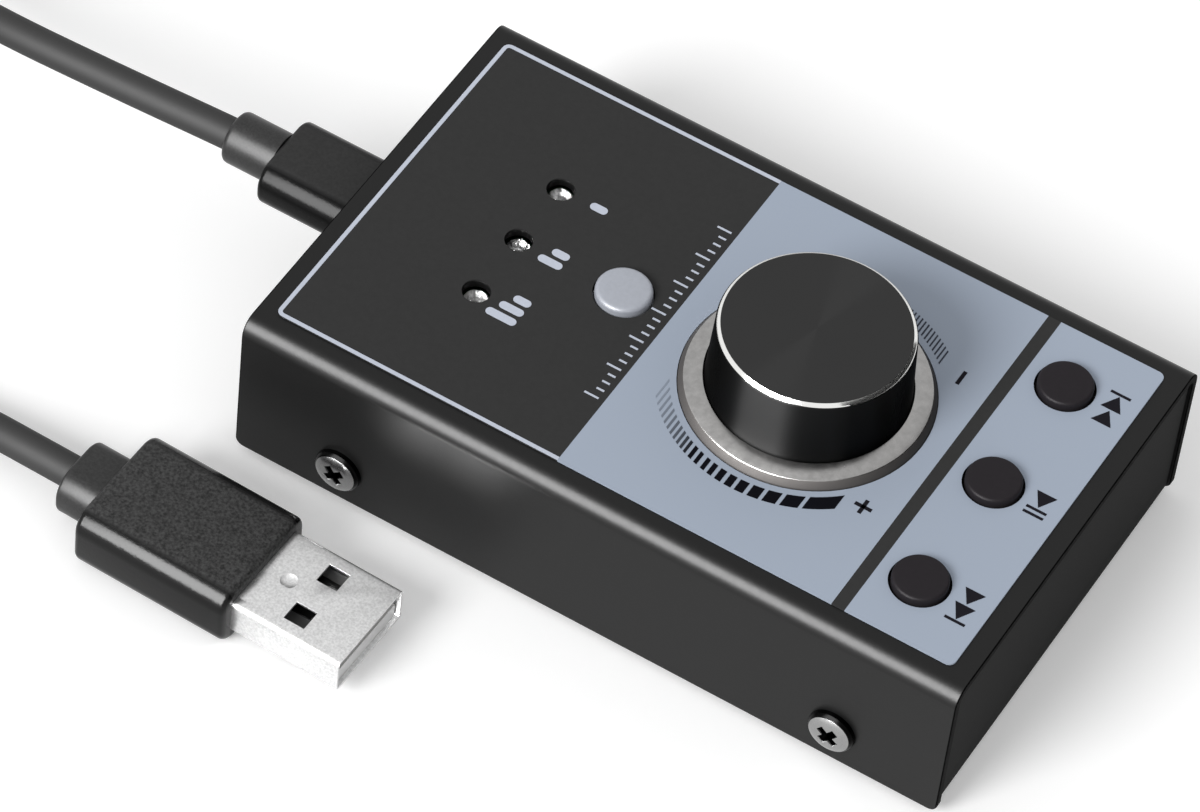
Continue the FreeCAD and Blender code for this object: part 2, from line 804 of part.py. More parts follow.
def knob_insert():
    """Plastic hub on the shaft, with a disc and ribs that fill the cap."""
    reach = knob_rim_radius - knob_wall - insert_gap
    hub_low = bushing_top + insert_clearance
    disc_low = knob_inside - insert_disc
    body = post(knob_x, 0, disc_low, knob_inside, reach)
    body = body.fuse(post(knob_x, 0, hub_low, disc_low, insert_hub_radius))
    for k in range(insert_ribs):
        rib = block(knob_x, knob_x + reach - insert_gap, -insert_rib / 2, insert_rib / 2,
                    disc_low - insert_rib_drop, disc_low)
        rib.rotate(Vector(knob_x, 0, 0), up, 360 * k / insert_ribs)
        body = body.fuse(rib)
    bore = post(knob_x, 0, hub_low - overrun, knob_inside + overrun, shaft_radius + insert_gap)
    flat = block(knob_x + shaft_flat + insert_gap, knob_x + 2 * shaft_radius, -2 * shaft_radius,
                 2 * shaft_radius, hub_low - overrun, knob_inside + 2 * overrun)
    return body.cut(bore.cut(flat)).removeSplitter()


def socket_front():
    return -tray_inside_x + socket_setback


def usb_socket_shell():
    front = socket_front()
    outer = bar_x(front, front + socket_length, socket_width, socket_height,
                  socket_height * full_round_share, 0, plug_z)
    inner_height = socket_height - 2 * socket_wall
    inner = bar_x(front - overrun, front + socket_length + overrun, socket_width - 2 * socket_wall,
                  inner_height, inner_height * full_round_share, 0, plug_z)
    return outer.cut(inner)


def usb_socket_tongue():
    """Block that closes the back of the socket, with the contact tongue."""
    front = socket_front()
    back = front + socket_length
    inner_height = socket_height - 2 * socket_wall
    block_back = bar_x(back - socket_back, back, socket_width - 2 * socket_wall, inner_height,
                       inner_height * full_round_share, 0, plug_z)
    tongue = block(front + tongue_setback, back, -tongue_width / 2, tongue_width / 2,
                   plug_z - tongue_height / 2, plug_z + tongue_height / 2)
    return block_back.fuse(tongue).removeSplitter()


def c_grip_front():
    return -tray_wall_x - c_grip_gap


def usb_c_shell():
    front = c_grip_front()
    outer = bar_x(front - plug_root, front + plug_reach, plug_width, plug_height,
                  plug_height * full_round_share, 0, plug_z)
    inner_height = plug_height - 2 * plug_wall
    inner = bar_x(front - plug_root + plug_wall, front + plug_reach + overrun,
                  plug_width - 2 * plug_wall, inner_height, inner_height * full_round_share, 0, plug_z)
    return outer.cut(inner)


def usb_c_overmould():
    front = c_grip_front()
    grip = bar_x(front - c_grip_length, front, c_grip_width, c_grip_height, c_grip_edge, 0, plug_z)
    grip = rounded_end(grip, front - c_grip_length, c_grip_end_round)
    root = bar_x(front - plug_root, front + overrun, plug_width, plug_height,
                 plug_height * full_round_share, 0, plug_z)
    return grip.cut(root)


def usb_c_collar():
    back = c_grip_front() - c_grip_length
    collar = Part.makeCylinder(c_collar_radius, c_collar_length,
                               Vector(back - c_collar_length, 0, plug_z), Vector(1, 0, 0))
    return rounded_end(collar, back - c_collar_length, c_collar_round)


def place_a_plug(shape):
    """From the plug's own frame, shell root at the origin and pointing along X, to the desk."""
    shape.rotate(Vector(0, 0, 0), up, a_turn_deg)
    shape.translate(Vector(a_root[0], a_root[1], a_grip_height / 2))
    return shape


def usb_a_shell():
    """Folded shell with two windows and a dimple in its upper and lower walls."""
    shell = bar_x(-a_shell_root, a_shell_length, a_shell_width, a_shell_height, a_shell_corner, 0, 0)
    inner = bar_x(-a_shell_root - overrun, a_shell_length + overrun, a_shell_width - 2 * a_shell_wall,
                  a_shell_height - 2 * a_shell_wall, a_shell_corner - a_shell_wall, 0, 0)
    shell = shell.cut(inner)
    for y in (-a_window_y, a_window_y):
        shell = shell.cut(centred(a_window_x, y, -a_shell_height, a_window, a_window,
                                  2 * a_shell_height))
    dimple = Part.makeSphere(a_dimple_ball,
                             Vector(a_dimple_x, 0, a_shell_height / 2 + a_dimple_ball - a_dimple_depth))
    return place_a_plug(shell.cut(dimple))


def usb_a_insert():
    """Plastic tongue on the lower wall and the block that fills the shell's root."""
    roof = a_shell_height / 2 - a_shell_wall
    tongue = block(-a_shell_root, a_shell_length - a_insert_setback, -a_insert_width / 2,
                   a_insert_width / 2, insert_gap - roof, a_insert_height - roof)
    root = block(-a_shell_root, 0, -a_insert_width / 2, a_insert_width / 2, insert_gap - roof,
                 roof - insert_gap)
    return place_a_plug(tongue.fuse(root).removeSplitter())


def usb_a_contacts():
    seat = a_shell_wall - a_shell_height / 2 + a_insert_height
    front = a_shell_length - 2 * a_insert_setback
    strips = [block(front - a_contact_length, front, y - a_contact_width / 2, y + a_contact_width / 2,
                    seat, seat + a_contact_thickness) for y in a_contact_pitches]
    return place_a_plug(group(strips))


def usb_a_overmould():
    grip = bar_x(-a_grip_length, 0, a_grip_width, a_grip_height, a_grip_edge, 0, 0)
    grip = rounded_end(grip, -a_grip_length, a_grip_end_round)
    root = bar_x(-a_shell_root, overrun, a_shell_width, a_shell_height, a_shell_corner, 0, 0)
    return place_a_plug(grip.cut(root))


def usb_a_collar():
    collar = bar_x(-a_grip_length - a_collar_length, -a_grip_length, a_collar_width, a_collar_height,
                   a_collar_edge, 0, 0)
    return place_a_plug(rounded_end(collar, -a_grip_length - a_collar_length, a_collar_round))


def biarc(start, start_way, end, end_way):
    """Two arcs that join two points and keep both directions."""
    chord = end - start
    ways = start_way + end_way
    spread = 2 * (1 - start_way.dot(end_way))
    along = chord.dot(ways)
    reach = (math.sqrt(along ** 2 + spread * chord.dot(chord)) - along) / spread
    middle = (start + end + (start_way - end_way) * reach) * 0.5
    arcs = []
    for a, corner, b in ((start, start + start_way * reach, middle),
                         (middle, end - end_way * reach, end)):
        weight = (b - a).Length / 2 / (corner - a).Length
        arcs.append(Part.Arc(a, (a + corner * (2 * weight) + b) * (1 / (2 + 2 * weight)), b))
    return arcs


def coil_place(angle):
    """Point and direction on the coil's centre line, in along the lower layer, out along the upper."""
    layer = 2 * math.pi * coil_turns_per_layer
    rate = coil_pitch / (2 * math.pi)
    inner = coil_mid_radius - coil_pitch * coil_turns_per_layer / 2
    low = cord_radius + tie_band + panel_hole_gap
    if angle <= layer:
        radius, growth, z, climb = inner + rate * (layer - angle), -rate, low, 0.0
    elif angle >= layer + math.pi:
        radius, growth = inner + rate * (angle - layer - math.pi), rate
        z, climb = low + coil_pitch, 0.0
    else:
        back = angle - layer
        radius = inner - rate * back * (1 - back / math.pi)
        growth = -rate * (1 - 2 * back / math.pi)
        z = low + coil_pitch * (1 - math.cos(back)) / 2
        climb = coil_pitch * math.sin(back) / 2
    turn = -math.pi / 2 - angle
    point = Vector(coil_x + radius * math.cos(turn), coil_y + radius * math.sin(turn), z)
    way = Vector(growth * math.cos(turn) + radius * math.sin(turn),
                 growth * math.sin(turn) - radius * math.cos(turn), climb)
    return point, way.normalize()


coil_end_angle = 2 * math.pi * (2 * coil_turns_per_layer) + math.pi
coil_start, coil_start_way = coil_place(0)
coil_end, coil_end_way = coil_place(coil_end_angle)
coil_in = coil_start - coil_start_way * (2 * cord_radius)
coil_out = coil_end + coil_end_way * (2 * cord_radius)


def swept(edges, start, way):
    """Round cord along joined edges."""
    ring = Part.Wire(Part.makeCircle(cord_radius, start, way))
    return Part.Wire(edges).makePipeShell([ring], True, False)


def cord_coil():
    steps = 4 * (2 * coil_turns_per_layer) + 2
    places = [coil_place(coil_end_angle * k / steps) for k in range(steps + 1)]
    curves = [Part.LineSegment(coil_in, coil_start)]
    for (a, a_way), (b, b_way) in zip(places, places[1:]):
        curves += biarc(a, a_way, b, b_way)
    curves.append(Part.LineSegment(coil_end, coil_out))
    edges = [curve.toShape() for curve in curves]
    length = sum(edge.Length for edge in edges)
    fine = [coil_place(coil_end_angle * k / (12 * steps))[0] for k in range(12 * steps + 1)]
    gap = min(fine[i].distanceToPoint(fine[j])
              for i in range(len(fine)) for j in range(i + 24, len(fine))) - 2 * cord_radius
    tube = swept(edges, coil_in, coil_start_way)
    print("coil length", round(length, 1), "least gap to itself", round(gap, 2), "volume share",
          round(tube.Volume / (math.pi * cord_radius ** 2 * length), 4))
    return tube


def cord_stretch(route, join, way):
    """Straight runs joined by tangent arcs, ending square on the coil's end."""
    points = [Vector(*place) for place in route] + [join + way * coil_lead_in, join]
    edges = []
    here = points[0]
    radii = []
    for before, corner, after in zip(points, points[1:], points[2:]):
        back = (before - corner).normalize()
        ahead = (after - corner).normalize()
        half_turn = (math.pi - back.getAngle(ahead)) / 2
        trim = trim_share * min((before - corner).Length, (after - corner).Length)
        radii.append(round(trim / math.tan(half_turn), 1))
        start = corner + back * trim
        end = corner + ahead * trim
        weight = math.cos(half_turn)
        middle = (start + corner * (2 * weight) + end) * (1 / (2 + 2 * weight))
        edges.append(Part.LineSegment(here, start).toShape())
        edges.append(Part.Arc(start, middle, end).toShape())
        here = end
    edges.append(Part.LineSegment(here, points[-1]).toShape())
    length = sum(edge.Length for edge in edges)
    tube = swept(edges, points[0], points[1] - points[0])
    print("stretch length", round(length, 1), "radii", radii, "volume share",
          round(tube.Volume / (math.pi * cord_radius ** 2 * length), 4))
    return tube


def cord_tie():
    """Flat band round the turns on the far side of the coil, with a twisted tail."""
    reach = coil_pitch * coil_turns_per_layer / 2 + coil_pitch / 4 + cord_radius + tie_gap
    low = tie_band
    high = tie_band + panel_hole_gap + 2 * cord_radius + coil_pitch + tie_gap
    x = coil_x - coil_mid_radius
    outer = block(x - reach - tie_band, x + reach + tie_band, coil_y - tie_width / 2,
                  coil_y + tie_width / 2, 0, high + tie_band)
    outer = fillet_where(outer, cord_radius + tie_band, lambda e: edge_along(e, Vector(0, 1, 0)))
    inner = block(x - reach, x + reach, coil_y - tie_width, coil_y + tie_width, low, high)
    inner = fillet_where(inner, cord_radius, lambda e: edge_along(e, Vector(0, 1, 0)))
    tail = Part.makeCylinder(tie_tail_radius, tie_tail + tie_band, Vector(x - reach, coil_y, high / 2),
                             Vector(-1, 0, 0))
    return outer.cut(inner).fuse(tail).removeSplitter()


save("top_cover", top_cover())
save("bottom_tray", bottom_tray())
save("panel_overlay", panel_overlay())
save("side_screws", side_screws())
save("rubber_feet", rubber_feet())
save("circuit_board", circuit_board())
save("board_standoffs", board_standoffs())
save("board_screws", board_screws())
save("controller_chip", controller_chip())
save("clock_crystal", clock_crystal())
save("small_parts", small_parts())
for light, place in led_places.items():
    save("led_" + light, led(*place))
save("led_spacers", led_spacers())
save("led_legs", led_legs())
save("switch_bodies", switch_bodies())
save("switch_frames", switch_frames())
save("switch_domes", switch_domes())
for button, place in button_places.items():
    save(button + "_stem", switch_stem(*place))
    if button == "mode":
        save("mode_button", button_cap(*place, mode_radius, mode_proud, mode_round))
    else:
        save(button + "_button", button_cap(*place, media_radius, media_proud, media_round))
save("encoder_base", encoder_base())
save("encoder_frame", encoder_frame())
save("encoder_rotor", encoder_rotor())
save("encoder_shaft", encoder_shaft())
save("encoder_dome", encoder_dome())
save("encoder_pins", encoder_pins())
save("bushing_washer", bushing_washer())
save("bushing_nut", bushing_nut())
save("trim_ring", trim_ring())
save("knob_shell", knob_shell())
save("knob_insert", knob_insert())
save("usb_socket_shell", usb_socket_shell())
save("usb_socket_tongue", usb_socket_tongue())
save("usb_c_shell", usb_c_shell())
save("usb_c_overmould", usb_c_overmould())
save("usb_c_collar", usb_c_collar())
save("cord_device_stretch", cord_stretch(near_route, coil_out, coil_end_way))
save("cord_coil", cord_coil())
save("cord_plug_stretch", cord_stretch(far_route, coil_in, -coil_start_way))
save("cord_tie", cord_tie())
save("usb_a_collar", usb_a_collar())
save("usb_a_overmould", usb_a_overmould())
save("usb_a_shell", usb_a_shell())
save("usb_a_insert", usb_a_insert())
save("usb_a_contacts", usb_a_contacts())
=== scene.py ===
# %% [markdown]
# # A USB volume control knob on a desk
# The object is a small box of folded, powder-coated steel. Its front panel
# carries one big turned knob, four buttons and three sunk status lights, and a
# cable with two plugs leaves its short side. The model has every part at its
# real size. This lesson dresses that model: it loads it as a fixed frame, keeps
# the parts whose shape is right, and builds finer ones where the eye looks.

import json
from math import cos, pi, radians, sin

import bmesh
import bpy
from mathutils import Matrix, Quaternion, Vector


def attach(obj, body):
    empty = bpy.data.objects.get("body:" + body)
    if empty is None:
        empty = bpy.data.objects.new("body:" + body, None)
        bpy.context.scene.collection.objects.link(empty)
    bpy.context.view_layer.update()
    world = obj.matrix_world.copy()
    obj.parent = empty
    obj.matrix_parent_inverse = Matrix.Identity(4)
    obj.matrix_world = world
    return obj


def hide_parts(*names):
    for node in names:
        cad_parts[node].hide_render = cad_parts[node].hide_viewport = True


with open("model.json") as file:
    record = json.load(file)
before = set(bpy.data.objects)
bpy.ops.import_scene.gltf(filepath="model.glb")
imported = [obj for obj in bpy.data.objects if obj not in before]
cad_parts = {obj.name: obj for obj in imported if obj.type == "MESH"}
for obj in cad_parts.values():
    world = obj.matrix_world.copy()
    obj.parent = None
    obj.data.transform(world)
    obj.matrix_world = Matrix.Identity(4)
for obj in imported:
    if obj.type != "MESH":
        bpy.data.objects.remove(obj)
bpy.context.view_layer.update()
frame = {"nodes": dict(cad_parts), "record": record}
MM = 0.001

# %% [markdown]
# ## The camera
# The photograph was taken from far away with a long lens, so the box hardly
# narrows towards the back. A camera has three things to set: where it stands,
# where it looks, and how far it leans to one side. The lean is a turn about the
# line of sight, so it comes after the direction.

# %% Place the camera where the photograph was taken from
CAMERA_PLACE = Vector((188.6, -423.2, 574.2)) * MM
CAMERA_SIGHT = Vector((-0.2726, 0.5717, -0.7739))
CAMERA_LEAN = radians(7.17)
CAMERA_LENS = 209.1

lens = bpy.data.cameras.new("camera")
lens.lens = CAMERA_LENS
lens.sensor_width = 36
lens.clip_start = 0.01
camera = bpy.data.objects.new("camera", lens)
bpy.context.scene.collection.objects.link(camera)
camera.location = CAMERA_PLACE
camera.rotation_mode = "QUATERNION"
camera.rotation_quaternion = (
    CAMERA_SIGHT.to_track_quat("-Z", "Y") @ Quaternion((0, 0, 1), CAMERA_LEAN))
bpy.context.scene.camera = camera
bpy.context.scene.view_settings.view_transform = "Standard"
print("the camera stands", round(CAMERA_PLACE.length, 3), "m from the box")

# %% [markdown]
# ## A short way to write node trees
# Wiring a material by hand takes many clicks, and in code it takes many lines.
# Here a small class wraps the output of a node, so that `1 - mask * 0.5` adds
# the Math nodes by itself. A second class holds a tree and adds any other node:
# its kind, its settings, and the values or links of its sockets. A third one is
# a material, which can paint another colour over its own where a mask is 1.

# %% A node's output that takes part in arithmetic
class Socket:
    """The output of a node; arithmetic on it adds Math nodes."""

    def __init__(self, owner, output):
        self.owner, self.output = owner, output

    def maths(self, operation, *values):
        return self.owner.node("Math", {"operation": operation}, dict(enumerate(values)))

    def __add__(self, other):
        return self.maths("ADD", self, other)

    def __sub__(self, other):
        return self.maths("SUBTRACT", self, other)

    def __rsub__(self, other):
        return self.maths("SUBTRACT", other, self)

    def __mul__(self, other):
        return self.maths("MULTIPLY", self, other)

    def __gt__(self, other):
        return self.maths("GREATER_THAN", self, other)

    def __lt__(self, other):
        return self.maths("LESS_THAN", self, other)

    def __abs__(self):
        return self.maths("ABSOLUTE", self)

    __radd__ = __add__


# %% A tree that takes nodes one at a time, and a material that owns one
class Nodes:
    """The node tree of a material or a world."""

    def __init__(self, owner, shader):
        owner.use_nodes = True
        self.tree = owner.node_tree
        self.shader = self.tree.nodes[shader]

    def node(self, kind, settings=None, sockets=None, output=0):
        made = self.tree.nodes.new("ShaderNode" + kind)
        for setting, value in (settings or {}).items():
            setattr(made, setting, value)
        for socket, value in (sockets or {}).items():
            self.plug(made.inputs[socket], value)
        return Socket(self, made.outputs[output])

    def plug(self, target, value):
        if isinstance(value, Socket):
            self.tree.links.new(value.output, target)
        else:
            target.default_value = value

    def set(self, socket, value):
        self.plug(self.shader.inputs[socket], value)

    def shown(self):
        """Above 0 where it is looked at, itself or mirrored, and 0 for the light it gives."""
        return sum(self.node("LightPath", output="Is " + kind + " Ray")
                   for kind in ("Camera", "Glossy", "Transmission"))


class Finish(Nodes):
    """One material, its Principled shader and the nodes that feed it."""

    def __init__(self, name, shade, roughness, **constants):
        self.material = bpy.data.materials.new(name)
        super().__init__(self.material, "Principled BSDF")
        self.set("Base Color", shade)
        self.set("Roughness", roughness)
        for socket, value in constants.items():
            self.set(socket.replace("_", " "), value)

    def blend(self, mask, first, second):
        """The first colour where the mask is 0, and the second where it is 1."""
        return self.node("Mix", {"data_type": "RGBA"}, {0: mask, 6: first, 7: second}, output=2)

    def paint(self, mask, shade):
        """Another colour over the present one, where the mask is 1."""
        self.shade = self.blend(mask, self.shade, shade)
        self.set("Base Color", self.shade)

    def axis(self, letter):
        """How far a point lies along X, Y or Z, in metres."""
        return self.node("SeparateXYZ", {}, {"Vector": self.place}, output=letter)


print("three helpers are ready:", Socket.__name__, Nodes.__name__, "and", Finish.__name__)

# %% [markdown]
# ## Colours as the eye reads them
# A picture program gives a colour as three numbers up to 255, on a scale that
# follows the eye. Blender's sockets want the amount of light instead. One
# function turns the first into the second, so every colour below is written the
# way it looks.

# %% Turn a colour of the screen into an amount of light
def light_of(level):
    share = level / 255
    return share / 12.92 if share <= 0.04045 else ((share + 0.055) / 1.055) ** 2.4


def colour(red, green=None, blue=None):
    """A colour by its screen levels; one level alone is a grey."""
    levels = (red, red if green is None else green, red if blue is None else blue)
    return (*(light_of(level) for level in levels), 1)


print("screen level 128 is", round(light_of(128), 3), "of white light")

# %% [markdown]
# ## Floor and light
# The object stands in a white studio. A bright floor and an even sky give most
# of the light, so that a colour looks as it is written, and a wide sun from the
# front left adds the soft shadow. What makes black paint and metal readable is
# what they mirror, and in a studio that is a softbox: a big lit cloth. The one
# here is left out of the plain light. Only gloss sees it, so it can be bright
# without making the colours pale.

# %% A white floor that shows the soft shadow
FLOOR_SIZE, FLOOR_LIFT = 6, 0.16
bpy.ops.object.select_all(action="DESELECT")
bpy.ops.mesh.primitive_plane_add(size=FLOOR_SIZE, location=(0, 0, 0))
floor = bpy.context.object
floor.name = "floor"
paper = Finish("floor_paper", colour(252), 0.9, Specular_IOR_Level=0.1)
paper.set("Emission Color", colour(255))
paper.set("Emission Strength", paper.shown() * FLOOR_LIFT)
floor.data.materials.append(paper.material)
print("the floor is", floor.dimensions.x, "m wide")

# %% An even sky, white where it is looked at
SKY_LIGHT = 0.62
world = bpy.data.worlds.new("sky")
bpy.context.scene.world = world
sky = Nodes(world, "Background")
sky.set("Color", colour(255))
sky.set("Strength", sky.node("MapRange", {}, {"Value": sky.shown(), "To Min": SKY_LIGHT}))
print("the sky gives", SKY_LIGHT, "of full light")


# %% A wide sun, and a softbox for the highlights
def lamp(name, kind, energy, way, distance=0, **settings):
    """A lamp that shines on the object out of the direction way."""
    light = bpy.data.lights.new(name, kind)
    light.energy = energy
    for setting, value in settings.items():
        setattr(light, setting, value)
    stand = bpy.data.objects.new(name, light)
    bpy.context.scene.collection.objects.link(stand)
    stand.location = way.normalized() * distance
    stand.rotation_euler = way.to_track_quat("Z", "Y").to_euler()
    return stand


def out_of(azimuth, height):
    """The direction with these two angles in degrees."""
    turn, rise = radians(azimuth), radians(height)
    return Vector((cos(turn) * cos(rise), sin(turn) * cos(rise), sin(rise)))


SUN_STRENGTH, SUN_WIDTH, SUN_WAY = 2.1, radians(26), out_of(-109.3, 35)
sun = lamp("sun", "SUN", SUN_STRENGTH, SUN_WAY, angle=SUN_WIDTH)
sun.visible_glossy = False
print("the sun adds", round(SUN_STRENGTH * SUN_WAY.z / pi, 2), "on level surfaces")

BOX_WAY, BOX_DISTANCE, BOX_POWER = out_of(-107, 34), 1.5, 140
BOX_WIDTH, BOX_HEIGHT = 1.25, 1.25
softbox = lamp("softbox", "AREA", BOX_POWER, BOX_WAY, BOX_DISTANCE,
               shape="RECTANGLE", size=BOX_WIDTH, size_y=BOX_HEIGHT)
softbox.visible_diffuse = False
softbox.visible_camera = False
print("the softbox is", BOX_WIDTH, "by", BOX_HEIGHT, "m, seen by gloss alone")

# %% [markdown]
# A bright edge only looks like metal when something dark lies beside the light.
# Photographers stand a black card next to the object for that. This one stands
# on the right, and like the softbox it is seen by gloss alone.

# %% A black card on the right
CARD_X, CARD_Y, CARD_LONG, CARD_HIGH = 0.45, 0.37, 1.15, 0.75
bpy.ops.object.select_all(action="DESELECT")
bpy.ops.mesh.primitive_plane_add(size=1, location=(CARD_X, CARD_Y, CARD_HIGH / 2),
                                 rotation=(0, radians(-90), 0))
card = bpy.context.object
card.name = "black_card"
card.scale = (CARD_HIGH, CARD_LONG, 1)
card.data.materials.append(Finish("black_cloth", colour(12), 0.9, Specular_IOR_Level=0.0).material)
card.visible_camera = card.visible_diffuse = card.visible_shadow = False
print("the card stands", CARD_X, "m to the right, seen by gloss alone")

# %% [markdown]
# ## The cable
# The cable is one metre of round, limp lead. It leaves the collar of the small
# plug, sinks to the desk, is wound up out of sight to the left, and comes back
# to the big plug in front of the box. A cable never has a kink, so its line is
# one smooth curve, and the points here only pull on it, as fingers would. They
# are the points of the model's own route.

# %% The coil: turns that grow smaller below and wider above
CABLE_RADIUS = 1.9
COIL_CENTRE = (-127, -20)
COIL_RADIUS = 21
COIL_TURNS = 3
TURN_PITCH = 4.4
COIL_LOW = 2.5
POINTS_PER_TURN = 20


def coil_point(angle):
    """A point of the coil: three turns inwards on the desk, three outwards on top."""
    layer = 2 * pi * COIL_TURNS
    rate = TURN_PITCH / (2 * pi)
    inner = COIL_RADIUS - TURN_PITCH * COIL_TURNS / 2
    if angle <= layer:
        radius, height = inner + rate * (layer - angle), COIL_LOW
    elif angle >= layer + pi:
        radius, height = inner + rate * (angle - layer - pi), COIL_LOW + TURN_PITCH
    else:
        back = angle - layer
        radius = inner - rate * back * (1 - back / pi)
        height = COIL_LOW + TURN_PITCH * (1 - cos(back)) / 2
    turn = -pi / 2 - angle
    return (COIL_CENTRE[0] + radius * cos(turn), COIL_CENTRE[1] + radius * sin(turn), height)


coil_angle = 2 * pi * COIL_TURNS * 2 + pi
steps = round(coil_angle / (2 * pi) * POINTS_PER_TURN)
coil = [Vector(coil_point(coil_angle * step / steps)) for step in range(steps + 1)]
print("the coil has", len(coil), "points, and its outside is",
      2 * (COIL_RADIUS + TURN_PITCH * COIL_TURNS / 2 + CABLE_RADIUS), "mm across")

# %% The route: from the small plug to the coil, and from the coil to the big plug
NEAR_ROUTE = [(-58, 0, 14.23), (-60, 0, 14.23), (-73, -0.2, 13.6), (-90, 0, 12.5),
              (-100.5, 2.8, 9.6)]
FAR_ROUTE = [(-50.9, -41.02, 3.9), (-52.4, -40.98, 3.9), (-59.3, -40.6, 3.5),
             (-65.7, -39.9, 2.6), (-80, -41, 1.9), (-96.5, -45.6, 2)]
COIL_END_RUN = 2 * CABLE_RADIUS
COIL_LEAD = 12.5

out_of_coil = (coil[-1] - coil[-2]).normalized()
into_coil = (coil[1] - coil[0]).normalized()
route = [Vector(point) for point in NEAR_ROUTE]
route += [coil[-1] + out_of_coil * (COIL_END_RUN + COIL_LEAD)]
route += coil[::-1]
route += [coil[0] - into_coil * (COIL_END_RUN + COIL_LEAD)]
route += [Vector(point) for point in reversed(FAR_ROUTE)]
print("the cable's line has", len(route), "points")

# %% One smooth curve through the air and over the desk
line = bpy.data.curves.new("cable", "CURVE")
line.dimensions = "3D"
line.resolution_u = 6
line.bevel_depth = CABLE_RADIUS * MM
line.bevel_resolution = 5
spline = line.splines.new("NURBS")
spline.points.add(len(route) - 1)
for point, place in zip(spline.points, route):
    point.co = (*(place * MM), 1)
spline.order_u = 3
spline.use_endpoint_u = True
cable = bpy.data.objects.new("cable", line)
bpy.context.scene.collection.objects.link(cable)
print("the curve is", round(spline.calc_length(), 3), "m long")

# %% [markdown]
# ## Finishes
# Nothing real is one flat colour. A powder coat has a fine grain that breaks up
# the light, a moulded grip has a soft spark texture, and brushed metal is rough
# across its lines. Each finish below starts from a colour and a roughness, and
# a little noise moves both. The two numbers after them are the width and the
# depth of the grain in millimetres. Dark paint and plastic keep their mirroring
# low, because even a little of the white studio would make them grey.

# %% The grain that most finishes share
GRAIN_DETAIL, GRAIN_FALL = 3.0, 0.55
SHARPEN = 3
SWING = 0.12
RELIEF = 0.5


def grained(name, base, roughness, grain, bump, spread=0.03, **constants):
    """A finish with grain of that size in millimetres, lighter and darker by spread."""
    finish = Finish(name, base, roughness, **constants)
    finish.place = finish.node("TexCoord", output="Object")
    finish.noise = finish.node("TexNoise", {}, {
        "Vector": finish.place, "Scale": 1 / (grain * MM),
        "Detail": GRAIN_DETAIL, "Roughness": GRAIN_FALL})
    darker, lighter = ((*(min(1, channel * change) for channel in base[:3]), 1)
                       for change in (1 - spread, 1 + spread))
    speck = finish.noise * SHARPEN - (SHARPEN - 1) / 2
    finish.shade = finish.blend(speck, darker, lighter)
    finish.set("Base Color", finish.shade)
    finish.set("Roughness", finish.noise * SWING + (roughness - SWING / 2))
    finish.set("Normal", finish.node("Bump", {}, {
        "Height": finish.noise, "Strength": RELIEF, "Distance": bump * MM}))
    return finish


# %% The finishes of plain parts
finishes = {
    "powder_coat": grained("powder_coat", colour(14), 0.38, 0.5, 0.010, Specular_IOR_Level=0.21),
    "tray_coat": grained("tray_coat", colour(44), 0.7, 0.5, 0.010, Specular_IOR_Level=0.02),
    "printed_film": grained("printed_film", colour(57), 0.55, 0.6, 0.003, Specular_IOR_Level=0.0),
    "plated_steel": grained("plated_steel", colour(150), 0.24, 0.4, 0.004, Metallic=1.0),
    "reflector": grained("reflector", colour(140), 0.3, 0.35, 0.3, 0.6, Metallic=1.0),
    "foot_rubber": grained("foot_rubber", colour(38), 0.8, 0.3, 0.01),
    "board_laminate": grained("board_laminate", colour(30, 72, 48), 0.4, 1.2, 0.004),
    "chip_resin": grained("chip_resin", colour(34), 0.55, 0.15, 0.006),
    "clear_lens": Finish("clear_lens", colour(250), 0.05, Transmission_Weight=1.0),
    "knob_metal": grained("knob_metal", colour(46), 0.36, 0.2, 0.002, Metallic=1.0,
                          Anisotropic=1.0, Anisotropic_Rotation=0.25, Specular_Tint=colour(168)),
    "ring_metal": grained("ring_metal", colour(152, 151, 150), 0.3, 0.8, 0.006, 0.09,
                          Metallic=1.0),
    "light_cap": grained("light_cap", colour(166, 170, 179), 0.42, 0.5, 0.003,
                         Specular_IOR_Level=0.4),
    "dark_cap": grained("dark_cap", colour(39, 36, 39), 0.45, 0.5, 0.003,
                        Specular_IOR_Level=0.06),
    "inner_plastic": grained("inner_plastic", colour(70), 0.6, 0.4, 0.004),
    "tongue_plastic": grained("tongue_plastic", colour(214), 0.5, 0.4, 0.004),
    "contact_metal": grained("contact_metal", colour(214, 184, 110), 0.25, 0.3, 0.002,
                             Metallic=1.0),
    "cable_jacket": grained("cable_jacket", colour(54), 0.6, 0.35, 0.004, Specular_IOR_Level=0.15),
    "grip_plastic": grained("grip_plastic", colour(50), 0.36, 0.26, 0.02, 0.2,
                            Specular_IOR_Level=0.17),
    "plug_steel": grained("plug_steel", colour(206), 0.32, 0.26, 0.01, 0.14, Metallic=1.0),
    "tie_plastic": grained("tie_plastic", colour(40), 0.6, 0.4, 0.004, Specular_IOR_Level=0.15),
}
print(len(finishes), "finishes are ready")

# %% [markdown]
# The grips of the plugs come out of a mould with textured flat faces and
# polished sides. One material holds both looks. A mask follows the distance from
# the plug's middle line, in the plug's own turned frame, and fades over a short
# way so that no hard line shows. Only the polished part draws a narrow highlight.
# The sides are also painted much darker than the flat faces, as painted shade.

# %% Grips: textured flat faces, polished sides with painted shade
TEXTURE_GRAIN, TEXTURE_DEPTH, TEXTURE_FADE = 0.32, 0.03, 0.3
FLAT_ROUGHNESS, POLISHED_ROUGHNESS, SIDE_PAINTED_SHADE = 0.5, 0.18, colour(14)
GRIP_SWING = 0.1


